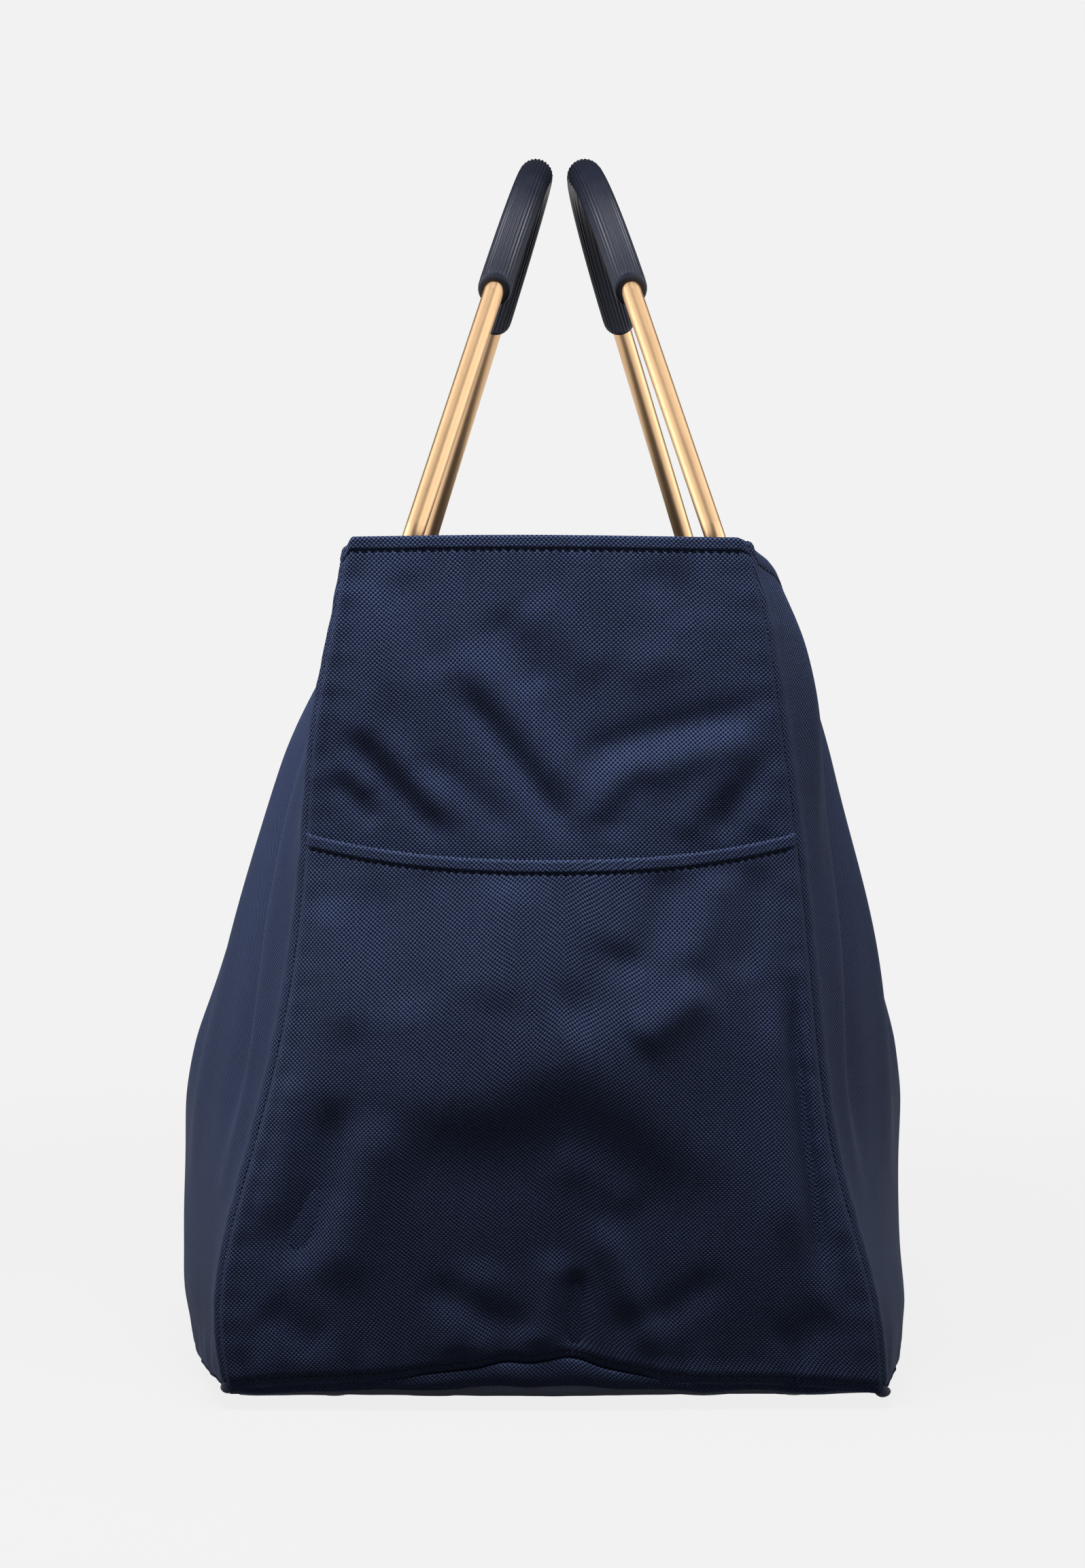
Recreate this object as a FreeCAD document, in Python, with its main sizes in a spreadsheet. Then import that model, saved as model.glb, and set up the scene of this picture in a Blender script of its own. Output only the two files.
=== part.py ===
"""A soft shopping bag with two swinging loop handles, built piece by piece in millimetres.

+Z is up, the bag's long way is Y, and the origin is on the floor below the middle of the bag.
The front end panel faces -Y. Each wall is a thin strip lofted through the same named levels.
Each handle is a closed tube loop whose lower bar turns in a fabric tunnel at a side panel's rim.
"""
import FreeCAD, Part
import math
import os
import Sketcher

V = FreeCAD.Vector
Rotation = FreeCAD.Rotation
doc = FreeCAD.newDocument("loop_handled_shopper")

# ---------------------------------------------------------------- driving dimensions

DIMENSIONS = (
    # alias, value in mm or degrees, meaning
    ("fabric", 1.2, "thickness of a sewn fabric wall"),
    ("seam_gap", 0.3, "clearance between pieces that are sewn together"),
    ("hem_depth", 5.6, "depth of a folded hem"),
    ("binding_width", 6.0, "width of a seam binding"),
    ("binding_inset", 2.5, "distance from the corner to a seam binding"),
    ("binding_lift", 7.0, "how far a seam binding starts above the base"),
    ("binding_drop", 1.0, "how far a seam binding ends below the rim"),
    ("binding_height", 4.8, "height of the binding round the base"),
    ("rim_hem_inset", 3.5, "distance from a seam binding to the rim's hem, measured like the binding"),
    ("pocket_inset", 2.0, "distance from the corner to a pocket's side"),
    ("pocket_hem_inset", 30.0, "distance from the corner to the hem in a pocket's mouth"),
    ("mouth_sag", 9.0, "how far a pocket's mouth dips in the middle"),
    ("notch_z", 316.0, "height of a side panel's edge where the handle legs swing"),
    ("notch_half", 132.0, "outer end of that notch"),
    ("tunnel_half", 104.0, "half the length of a handle tunnel"),
    ("tunnel_clearance", 0.08, "radial clearance of the handle bar in its tunnel"),
    ("board_inset", 7.0, "distance from the base edge to the board"),
    ("board_thickness", 2.4, "base board"),
    ("board_corner", 10.0, "corner radius of the base board"),
    ("foot_x", 95.0, "feet, from the middle"),
    ("foot_y", 140.0, "feet, from the middle"),
    ("foot_radius", 8.0, "base foot"),
    ("foot_round", 4.2, "rounding of the foot's lower edge"),
    ("shank_radius", 2.0, "foot rivet"),
    ("shank_depth", 2.6, "depth of the foot's rivet hole"),
    ("shank_clearance", 0.05, "radial clearance of the rivet in the foot"),
    ("shank_tip_gap", 0.1, "gap between the rivet's tip and the bottom of its hole"),
    ("rivet_head_radius", 4.0, "head of the foot rivet"),
    ("rivet_head_height", 1.6, "head of the foot rivet"),
    ("hole_radius", 2.3, "rivet holes in base panel, board and washer"),
    ("washer_radius", 7.0, "washer under the rivet head"),
    ("washer_thickness", 0.8, "washer under the rivet head"),
    ("pivot_x", 67.1, "handle pivot, from the middle"),
    ("pivot_z", 342.0, "handle pivot, above the floor"),
    ("lean", 17.8, "inward lean of each handle at rest, degrees"),
    ("tube_radius", 4.3, "handle tube"),
    ("tube_bore", 3.2, "bore of the handle tube"),
    ("tube_gap", 0.5, "gap between the tube's two ends"),
    ("bend_radius", 14.0, "lower bends of the handle"),
    ("arch_radius", 90.0, "top arch of the handle"),
    ("arch_centre", 95.2, "height of the arch's centre above the pivot"),
    ("taper", 18.6, "how far each leg turns inward from upright, degrees"),
    ("grip_radius", 7.4, "soft grip"),
    ("grip_bore", 4.45, "bore of the soft grip"),
    ("grip_slant", 32.0, "how far a grip's end is turned from a square cut, degrees"),
    ("grip_overrun", 3.2, "how far a grip is turned past the arch's ends before it is cut, degrees"),
    ("grip_cut", 16.0, "half the length and the depth of the outline that cuts a grip's end"),
    ("joiner_radius", 3.18, "pin that joins the tube's ends"),
    ("joiner_length", 40.0, "pin that joins the tube's ends"),
    ("axis_length", 20.0, "construction line that a grip is turned about"),
    ("trim_margin", 20.0, "how far a trimming outline reaches beyond what it cuts off"),
)

LEVELS = ("base", "heel", "belly", "waist", "chest", "shoulder", "collar", "rim")
SECTION_FIELDS = (
    # each field's value at the levels above
    ("height", (5.0, 40.0, 100.0, 165.0, 235.0, 280.0, 315.0, 352.5)),
    ("corner_x", (134.0, 133.0, 119.5, 107.0, 98.0, 92.0, 88.0, 84.6)),
    ("corner_y", (175.0, 182.0, 191.0, 198.5, 206.0, 215.0, 222.5, 230.0)),
    ("side_x", (155.0, 161.0, 160.0, 148.0, 131.0, 114.5, 96.5, 60.0)),
    ("end_crown", (2.0, 5.0, 8.0, 8.0, 6.0, 4.0, 3.0, 2.0)),
    ("gape", (0.5, 3.0, 7.0, 9.0, 9.5, 9.5, 9.5, 9.5)),
)

sheet = doc.addObject("Spreadsheet::Sheet", "Dimensions")
SIZES = {}


def store(alias, value):
    """Puts one plain number in the sheet's next row and gives its cell an alias."""
    row = len(SIZES) + 1
    sheet.set("A%d" % row, alias.replace("_", " "))
    sheet.set("B%d" % row, "%g" % value)
    sheet.setAlias("B%d" % row, alias)
    SIZES[alias] = value


for alias, value, meaning in DIMENSIONS:
    store(alias, value)
for field, values in SECTION_FIELDS:
    for level, value in zip(LEVELS, values):
        store("%s_%s" % (level, field), value)
doc.recompute()


def cell(alias):
    """The expression that reads one alias."""
    return "Dimensions." + alias


def size(expression):
    """The present value of an expression, worked out by the spreadsheet."""
    return float(sheet.evalExpression(expression))


# ---------------------------------------------------------------- sketch helpers

NODES = []
SMALLEST_CUT = 1.0  # mm3; a cut that takes away less has missed


def new_body(name, placement=None):
    """A PartDesign body whose label is the node's name."""
    body = doc.addObject("PartDesign::Body", name)
    body.Label = name
    body.AllowCompound = True
    body.Placement = placement or FreeCAD.Placement()
    NODES.append(body)
    return body


def new_sketch(body, plane, name, offset="0"):
    """A sketch on one of the body's own origin planes, moved along the plane's normal by an expression."""
    sketch = body.newObject("Sketcher::SketchObject", name)
    support = [f for f in body.Origin.OriginFeatures if f.Role == plane][0]
    sketch.AttachmentSupport = [(support, "")]
    sketch.MapMode = "FlatFace"
    sketch.setExpression(".AttachmentOffset.Base.z", offset)
    return sketch


def bind(sketch, constraint, expression):
    """Adds a dimensional constraint (kind, geometry, point, ...) and binds it to an expression."""
    index = sketch.addConstraint(Sketcher.Constraint(*constraint, size(expression)))
    sketch.setExpression("Constraints[%d]" % index, expression)


def add_arc(sketch, half_run, distance, crown):
    """An arc from side to side, its ends at (+-half_run, distance) and its middle `crown` further out."""
    run, base, rise = size(half_run), size(distance), size(crown)
    radius = (run ** 2 + rise ** 2) / (2 * abs(rise))
    centre = V(0, base + rise - math.copysign(radius, rise), 0)
    right = math.atan2(base - centre.y, run)
    left = math.atan2(base - centre.y, -run)
    angles = (right, left) if rise > 0 else (left, right)
    arc = Part.ArcOfCircle(Part.Circle(centre, V(0, 0, 1), radius), *angles)
    index = sketch.addGeometry(arc, False)
    right_end, left_end = (1, 2) if rise > 0 else (2, 1)
    sketch.addConstraint(Sketcher.Constraint("Symmetric", index, left_end, index, right_end, -2))
    bind(sketch, ("DistanceX", -1, 1, index, right_end), half_run)
    if base > 0:
        bind(sketch, ("DistanceY", -1, 1, index, right_end), distance)
    else:
        bind(sketch, ("DistanceY", index, right_end, -1, 1), "-(%s)" % distance)
    bind(sketch, ("Radius", index), "((%s)^2 + (%s)^2) / (2 * abs(%s))" % (half_run, crown, crown))
    return index, right_end, left_end


def join_ends(sketch, first, second):
    """Closes two side-to-side arcs into one outline with a straight line at each end."""
    for end in (1, 2):
        start = sketch.getPoint(first[0], first[end])
        stop = sketch.getPoint(second[0], second[end])
        line = sketch.addGeometry(Part.LineSegment(start, stop), False)
        sketch.addConstraint(Sketcher.Constraint("Coincident", line, 1, first[0], first[end]))
        sketch.addConstraint(Sketcher.Constraint("Coincident", line, 2, second[0], second[end]))


def add_polygon(sketch, points):
    """A closed outline of straight lines through points given as pairs of expressions."""
    corners = [V(size(x), size(y), 0) for x, y in points]
    first = sketch.GeometryCount
    for start, stop in zip(corners, corners[1:] + corners[:1]):
        sketch.addGeometry(Part.LineSegment(start, stop), False)
    for k, (x, y) in enumerate(points):
        previous = (k - 1) % len(points)
        sketch.addConstraint(Sketcher.Constraint("Coincident", first + previous, 2, first + k, 1))
        place_point(sketch, first + k, 1, x, y)


def place_point(sketch, geometry, point, x, y):
    """Fixes a point by its two distances from the origin, whichever side of it the point is on."""
    for kind, expression in (("DistanceX", x), ("DistanceY", y)):
        if size(expression) >= 0:
            bind(sketch, (kind, -1, 1, geometry, point), expression)
        else:
            bind(sketch, (kind, geometry, point, -1, 1), "-(%s)" % expression)


def add_circles(sketch, radius, centres):
    """Circles of one radius at centres given as pairs of expressions."""
    for x, y in centres:
        circle = Part.Circle(V(size(x), size(y), 0), V(0, 0, 1), size(radius))
        index = sketch.addGeometry(circle, False)
        place_point(sketch, index, 3, x, y)
        bind(sketch, ("Radius", index), radius)


def pad(body, sketch, length, name, downward=False):
    feature = body.newObject("PartDesign::Pad", name)
    feature.Profile = sketch
    feature.setExpression("Length", length)
    feature.Reversed = downward
    doc.recompute()
    return feature


def cut_through(body, sketch, name):
    """Cuts a sketch right through the body, both ways, and makes sure that it took something away."""
    before = body.Shape.Volume
    feature = body.newObject("PartDesign::Pocket", name)
    feature.Profile = sketch
    feature.Type = "ThroughAll"
    feature.SideType = "Symmetric"
    doc.recompute()
    if body.Shape.Volume > before - SMALLEST_CUT:
        raise RuntimeError(name + " cut nothing")
    return feature


# ---------------------------------------------------------------- sewn walls

def wall(name, angle, half_run, distance, crown):
    """A thin strip lofted through the levels. It is built facing +Y and turned about Z by the angle.

    half_run, distance and crown are expressions with {} for the level's name: half the strip's
    length, the distance of its two ends from the middle, and how far its middle stands further out.
    """
    body = new_body(name, FreeCAD.Placement(V(), Rotation(V(0, 0, 1), angle)))
    sketches = []
    for level in LEVELS:
        height = cell(level + "_height")
        sketch = new_sketch(body, "XY_Plane", "%s_at_%s" % (name, level), height)
        run, out, rise = [text.replace("{}", level) for text in (half_run, distance, crown)]
        outer = add_arc(sketch, run, out, rise)
        inner = add_arc(sketch, run, "%s - %s" % (out, cell("fabric")), rise)
        join_ends(sketch, outer, inner)
        sketches.append(sketch)
    doc.recompute()
    loft = body.newObject("PartDesign::AdditiveLoft", name + "_loft")
    loft.Profile = sketches[0]
    loft.Sections = sketches[1:]
    doc.recompute()
    return body


def trim(body, points, name):
    """Cuts a straight-sided outline, drawn from the wall's face, through the wall."""
    sketch = new_sketch(body, "XZ_Plane", name + "_outline")
    add_polygon(sketch, points)
    cut_through(body, sketch, name)


FABRIC, GAP, MARGIN = cell("fabric"), cell("seam_gap"), cell("trim_margin")
CORNER_X, CORNER_Y = "Dimensions.{}_corner_x", "Dimensions.{}_corner_y"
END_CROWN, GAPE = "Dimensions.{}_end_crown", "Dimensions.{}_gape"
SIDE_CROWN = "Dimensions.{}_side_x - Dimensions.{}_corner_x"
ENDS = (("front", 180), ("rear", 0))
SIDES = (("left", 90, -1), ("right", -90, 1))


def add_end_panel(end, angle):
    wall("end_panel_" + end, angle, CORNER_X, CORNER_Y, END_CROWN)


def add_rim_hem(end, angle):
    """The rim's folded-over fabric, inside the end panel and between the corner bindings."""
    inset = "%s - %s - %s" % (CORNER_X, cell("binding_width"), cell("rim_hem_inset"))
    body = wall("rim_hem_" + end, angle, inset, "%s - %s - %s" % (CORNER_Y, FABRIC, GAP), END_CROWN)
    hem = "%s - %s" % (cell("rim_height"), cell("hem_depth"))
    wide = cell("base_corner_x")
    low = "%s - %s" % (cell("base_height"), MARGIN)
    trim(body, (("-" + wide, low), (wide, low), (wide, hem), ("-" + wide, hem)), "rim_hem_%s_trim" % end)


def mouth_outline(sketch, drop, closing):
    """A pocket mouth's dipping line, moved down by `drop` and closed by two corners at `closing`."""
    run, wide, sag = cell("chest_corner_x"), cell("base_side_x"), cell("mouth_sag")
    height = "%s - %s" % (cell("chest_height"), drop)
    radius = "(%s^2 + %s^2) / (2 * %s)" % (run, sag, sag)
    centre = V(0, size(height) - size(sag) + size(radius), 0)
    start, stop = [math.atan2(size(height) - centre.y, side * size(run)) for side in (-1, 1)]
    circle = Part.Circle(centre, V(0, 0, 1), size(radius))
    arc = sketch.addGeometry(Part.ArcOfCircle(circle, start, stop), False)
    place_point(sketch, arc, 1, "-" + run, height)
    place_point(sketch, arc, 2, run, height)
    bind(sketch, ("Radius", arc), radius)
    corners = [V(size(run), size(height), 0), V(size(wide), size(closing), 0),
               V(-size(wide), size(closing), 0), V(-size(run), size(height), 0)]
    for a, b in zip(corners, corners[1:]):
        sketch.addGeometry(Part.LineSegment(a, b), False)
    for k in range(3):
        sketch.addConstraint(Sketcher.Constraint("Coincident", arc + k, 2, arc + k + 1, 1))
    sketch.addConstraint(Sketcher.Constraint("Coincident", arc + 3, 2, arc, 1))
    place_point(sketch, arc + 1, 2, wide, closing)
    place_point(sketch, arc + 2, 2, "-" + wide, closing)


POCKET_CROWN = "%s + %s" % (END_CROWN, GAPE)
POCKET_RUN = "%s - %s" % (CORNER_X, cell("pocket_inset"))
ABOVE = "%s + %s" % (cell("rim_height"), MARGIN)
BELOW = "%s - %s" % (cell("base_height"), MARGIN)


def cut_along_mouth(body, drop, closing, name):
    """Cuts away what lies between a pocket's mouth line and the height `closing`."""
    sketch = new_sketch(body, "XZ_Plane", name + "_outline")
    mouth_outline(sketch, drop, closing)
    cut_through(body, sketch, name)


def add_slip_pocket(end, angle):
    """A patch sewn to the end panel at both sides and below, standing away from it in the middle."""
    name = "slip_pocket_" + end
    distance = "%s + %s + 2 * %s" % (CORNER_Y, FABRIC, GAP)
    body = wall(name, angle, POCKET_RUN, distance, POCKET_CROWN)
    cut_along_mouth(body, "0", ABOVE, name + "_mouth")


def add_pocket_hem(end, angle):
    """The folded edge inside the pocket's mouth, clear of the end panel at both sides."""
    name = "pocket_hem_" + end
    run = "%s - %s" % (CORNER_X, cell("pocket_hem_inset"))
    hang = "(%s) * (1 - ((%s) / (%s))^2)" % (POCKET_CROWN, run, POCKET_RUN)
    distance = "%s + %s + %s" % (CORNER_Y, GAP, hang)
    crown = "(%s) * ((%s) / (%s))^2" % (POCKET_CROWN, run, POCKET_RUN)
    body = wall(name, angle, run, distance, crown)
    cut_along_mouth(body, "0", ABOVE, name + "_top")
    cut_along_mouth(body, cell("hem_depth"), BELOW, name + "_fold")


def add_side_panel(side, angle):
    """A broad wall between the end panels. Its top edge dips beside the tunnel, so that a leg can pass."""
    name = "side_panel_" + side
    run = "%s - %s - %s" % (CORNER_Y, FABRIC, GAP)
    body = wall(name, angle, run, CORNER_X, SIDE_CROWN)
    rim, notch, outer, inner = [cell(a) for a in ("rim_height", "notch_z", "notch_half", "tunnel_half")]
    below_tunnel = "%s - %s - %s - 3 * %s" % (cell("pivot_z"), cell("tube_radius"), FABRIC, GAP)
    high, far = "%s + %s" % (rim, MARGIN), "%s + %s" % (cell("rim_corner_y"), MARGIN)
    half = ((far, rim), (outer, notch), (inner, notch), (inner, below_tunnel))
    mirrored = tuple(("-(%s)" % y, z) for y, z in reversed(half))
    trim(body, half + mirrored + (("-(%s)" % far, high), (far, high)), name + "_edge")


def add_handle_tunnel(side, sign):
    """A fabric sleeve round the handle's lower bar."""
    name = "handle_tunnel_" + side
    body = new_body(name)
    body.setExpression("Placement.Base.x", "%d * %s" % (sign, cell("pivot_x")))
    body.setExpression("Placement.Base.z", cell("pivot_z"))
    sketch = new_sketch(body, "XZ_Plane", name + "_section")
    bore = "%s + %s" % (cell("tube_radius"), cell("tunnel_clearance"))
    for radius in (bore, "%s + %s" % (bore, FABRIC)):
        add_circles(sketch, radius, (("0", "0"),))
    sleeve = pad(body, sketch, "2 * " + cell("tunnel_half"), name + "_sleeve")
    sleeve.SideType = "Symmetric"


def add_seam_binding(end, angle, side, sign):
    """A folded tape over the seam allowance, upright in one corner of the bag, against the end panel."""
    name = "seam_binding_%s_%s" % (end, side)
    body = new_body(name, FreeCAD.Placement(V(), Rotation(V(0, 0, 1), angle)))
    turned = sign if end == "rear" else -sign
    sketches = []
    for level in LEVELS:
        lift = {"base": " + " + cell("binding_lift"), "rim": " - " + cell("binding_drop")}.get(level, "")
        sketch = new_sketch(body, "XY_Plane", "%s_at_%s" % (name, level), cell(level + "_height") + lift)
        corner_x, corner_y = CORNER_X.replace("{}", level), CORNER_Y.replace("{}", level)
        near = "%d * (%s - %s)" % (turned, corner_x, cell("binding_inset"))
        far = "%s - %d * %s" % (near, turned, cell("binding_width"))
        back = "%s - %s - %s" % (corner_y, FABRIC, GAP)
        front = "%s - 2 * %s - %s" % (corner_y, FABRIC, GAP)
        add_polygon(sketch, ((near, front), (far, front), (far, back), (near, back)))
        sketches.append(sketch)
    doc.recompute()
    loft = body.newObject("PartDesign::AdditiveLoft", name + "_loft")
    loft.Profile = sketches[0]
    loft.Sections = sketches[1:]


# ---------------------------------------------------------------- base

FEET = (("-Dimensions.foot_x", "-Dimensions.foot_y"), ("Dimensions.foot_x", "-Dimensions.foot_y"),
        ("Dimensions.foot_x", "Dimensions.foot_y"), ("-Dimensions.foot_x", "Dimensions.foot_y"))
BASE_CROWN = "%s - %s" % (cell("base_side_x"), cell("base_corner_x"))
BASE_TOP = "%s + %s" % (cell("base_height"), FABRIC)
BOARD_TOP = "%s + %s" % (BASE_TOP, cell("board_thickness"))


def base_outline(sketch, inset):
    """The bag's footprint moved inwards: its long edges bow outwards and its short edges are straight."""
    half_width = "%s - (%s)" % (cell("base_corner_x"), inset)
    half_length = "%s - (%s)" % (cell("base_corner_y"), inset)
    corner = V(size(half_width), size(half_length), 0)
    radius = "((%s)^2 + (%s)^2) / (2 * (%s))" % (half_length, BASE_CROWN, BASE_CROWN)
    bow = size(radius)
    middle = corner.x + size(BASE_CROWN) - bow
    spread = math.asin(corner.y / bow)
    first = sketch.GeometryCount
    circle = Part.Circle(V(middle, 0, 0), V(0, 0, 1), bow)
    sketch.addGeometry(Part.ArcOfCircle(circle, -spread, spread), False)
    sketch.addGeometry(Part.LineSegment(corner, V(-corner.x, corner.y, 0)), False)
    circle = Part.Circle(V(-middle, 0, 0), V(0, 0, 1), bow)
    sketch.addGeometry(Part.ArcOfCircle(circle, math.pi - spread, math.pi + spread), False)
    sketch.addGeometry(Part.LineSegment(V(-corner.x, -corner.y, 0), V(corner.x, -corner.y, 0)), False)
    for k in range(4):
        sketch.addConstraint(Sketcher.Constraint("Coincident", first + k, 2, first + (k + 1) % 4, 1))
    signs = ((1, -1), (1, 1), (-1, 1), (-1, -1))
    for k, (sign_x, sign_y) in enumerate(signs):
        x, y = "%d * (%s)" % (sign_x, half_width), "%d * (%s)" % (sign_y, half_length)
        place_point(sketch, first + k, 1, x, y)
    for arc in (first, first + 2):
        bind(sketch, ("Radius", arc), radius)


def base_sheet(name, inset, height, thickness):
    """A plate of the footprint's shape with four rivet holes."""
    body = new_body(name)
    sketch = new_sketch(body, "XY_Plane", name + "_outline", height)
    base_outline(sketch, inset)
    add_circles(sketch, cell("hole_radius"), FEET)
    pad(body, sketch, thickness, name + "_plate")
    return body


def add_base_panel():
    base_sheet("base_panel", "%s + %s" % (FABRIC, GAP), cell("base_height"), FABRIC)


def add_base_board():
    body = base_sheet("base_board", cell("board_inset"), BASE_TOP, cell("board_thickness"))
    plate = body.Tip
    upright = [k + 1 for k, edge in enumerate(plate.Shape.Edges) if is_plate_corner(edge)]
    rounding = body.newObject("PartDesign::Fillet", "base_board_corners")
    rounding.Base = (plate, ["Edge%d" % k for k in upright])
    rounding.setExpression("Radius", cell("board_corner"))


def is_plate_corner(edge):
    """A straight upright edge at the far corner of a plate."""
    start, stop = edge.Vertexes[0].Point, edge.Vertexes[-1].Point
    upright = abs(start.x - stop.x) + abs(start.y - stop.y) < 0.01
    return upright and abs(start.y) > size(cell("foot_y") + " + " + cell("foot_radius"))


def add_base_binding():
    """The bound seam allowance that runs round the inside of the base, beside the board."""
    body = new_body("base_binding")
    sketch = new_sketch(body, "XY_Plane", "base_binding_outline", "%s + %s" % (BASE_TOP, GAP))
    base_outline(sketch, "%s + 2 * %s" % (FABRIC, GAP))
    base_outline(sketch, "2 * %s + 2 * %s" % (FABRIC, GAP))
    pad(body, sketch, cell("binding_height"), "base_binding_ring")


def add_base_feet():
    """Four low domed feet, each flat below and with a blind hole for its rivet."""
    body = new_body("base_feet")
    sketch = new_sketch(body, "XY_Plane", "feet_outline")
    add_circles(sketch, cell("foot_radius"), FEET)
    blocks = pad(body, sketch, cell("base_height"), "feet_blocks")
    lower = [k + 1 for k, edge in enumerate(blocks.Shape.Edges) if edge.BoundBox.ZMax < 0.01]
    dome = body.newObject("PartDesign::Fillet", "feet_domes")
    dome.Base = (blocks, ["Edge%d" % k for k in lower])
    dome.setExpression("Radius", cell("foot_round"))
    doc.recompute()
    before = body.Shape.Volume
    holes = new_sketch(body, "XY_Plane", "feet_holes_outline", cell("base_height"))
    add_circles(holes, "%s + %s" % (cell("shank_radius"), cell("shank_clearance")), FEET)
    cut = body.newObject("PartDesign::Pocket", "feet_holes")
    cut.Profile = holes
    cut.setExpression("Length", cell("shank_depth"))
    doc.recompute()
    if body.Shape.Volume > before - SMALLEST_CUT:
        raise RuntimeError("the feet's rivet holes cut nothing")


def add_foot_washers():
    body = new_body("foot_washers")
    sketch = new_sketch(body, "XY_Plane", "washers_outline", BOARD_TOP)
    for radius in ("washer_radius", "hole_radius"):
        add_circles(sketch, cell(radius), FEET)
    pad(body, sketch, cell("washer_thickness"), "washers_plate")


def add_foot_rivets():
    """Shanks from inside the feet to the washers, with a flat round head on each."""
    body = new_body("foot_rivets")
    washer_top = "%s + %s" % (BOARD_TOP, cell("washer_thickness"))
    bottom = "%s - %s + %s" % (cell("base_height"), cell("shank_depth"), cell("shank_tip_gap"))
    shanks = new_sketch(body, "XY_Plane", "shanks_outline", bottom)
    add_circles(shanks, cell("shank_radius"), FEET)
    pad(body, shanks, "%s - (%s)" % (washer_top, bottom), "rivet_shanks")
    heads = new_sketch(body, "XY_Plane", "heads_outline", washer_top)
    add_circles(heads, cell("rivet_head_radius"), FEET)
    pad(body, heads, cell("rivet_head_height"), "rivet_heads")


# ---------------------------------------------------------------- handles

def handle_placement(sign):
    """The handle's own frame: x along the bag, z up the leaning loop, origin on the pivot."""
    turn = Rotation(V(0, 1, 0), -sign * size(cell("lean"))) * Rotation(V(0, 0, 1), 90)
    return FreeCAD.Placement(V(sign * size(cell("pivot_x")), 0, size(cell("pivot_z"))), turn)


def handle_path(sketch):
    """The tube's centre line: bar end, bend, leg, arch, leg, bend and bar end, each tangent to the next."""
    taper = math.radians(size(cell("taper")))
    arch, bend = size(cell("arch_radius")), size(cell("bend_radius"))
    top = V(0, size(cell("arch_centre")), 0)
    across = V(math.cos(taper), math.sin(taper), 0)
    shoulder = top + across * arch
    down = V(math.sin(taper), -math.cos(taper), 0)
    to_bend = (shoulder.y - bend - bend * math.sin(taper)) / math.cos(taper)
    foot = shoulder + down * to_bend
    pivot = foot - across * bend
    bar = size(cell("tube_gap")) / 2

    def mirror(point):
        return V(-point.x, point.y, 0)

    def arc(centre, radius, start, stop):
        return Part.ArcOfCircle(Part.Circle(centre, V(0, 0, 1), radius), start, stop)

    quarter = math.pi / 2
    pieces = (
        Part.LineSegment(V(-bar, 0, 0), V(-pivot.x, 0, 0)),
        arc(mirror(pivot), bend, math.pi - taper, math.pi + quarter),
        Part.LineSegment(mirror(foot), mirror(shoulder)),
        arc(top, arch, taper, math.pi - taper),
        Part.LineSegment(shoulder, foot),
        arc(pivot, bend, -quarter, taper),
        Part.LineSegment(V(pivot.x, 0, 0), V(bar, 0, 0)),
    )
    for piece in pieces:
        sketch.addGeometry(piece, False)
    joints = ((0, 2, 1, 2), (1, 1, 2, 1), (2, 2, 3, 2), (3, 1, 4, 1), (4, 2, 5, 2), (5, 1, 6, 1))
    for joint in joints:
        sketch.addConstraint(Sketcher.Constraint("Tangent", *joint))
    half_gap = "%s / 2" % cell("tube_gap")
    place_point(sketch, 0, 1, "-(%s)" % half_gap, "0")
    place_point(sketch, 6, 2, half_gap, "0")
    place_point(sketch, 3, 3, "0", cell("arch_centre"))
    for index, alias in ((1, "bend_radius"), (5, "bend_radius"), (3, "arch_radius")):
        bind(sketch, ("Radius", index), cell(alias))
    for index in (0, 6):
        sketch.addConstraint(Sketcher.Constraint("Horizontal", index))
    for index, sign in ((2, 1), (4, -1)):
        slant = sign * (math.pi / 2 - taper)
        constraint = sketch.addConstraint(Sketcher.Constraint("Angle", index, slant))
        sketch.setExpression("Constraints[%d]" % constraint, "%d * (90 - %s) * 1 deg" % (sign, cell("taper")))


def add_handle_tube(side, sign):
    name = "handle_tube_" + side
    body = new_body(name, handle_placement(sign))
    path = new_sketch(body, "XZ_Plane", name + "_path")
    handle_path(path)
    ring = new_sketch(body, "YZ_Plane", name + "_section", "-%s / 2" % cell("tube_gap"))
    for alias in ("tube_radius", "tube_bore"):
        add_circles(ring, cell(alias), (("0", "0"),))
    doc.recompute()
    tube = body.newObject("PartDesign::AdditivePipe", name + "_pipe")
    tube.Profile = ring
    tube.Spine = (path, ["Edge%d" % (k + 1) for k in range(path.GeometryCount)])


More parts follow.
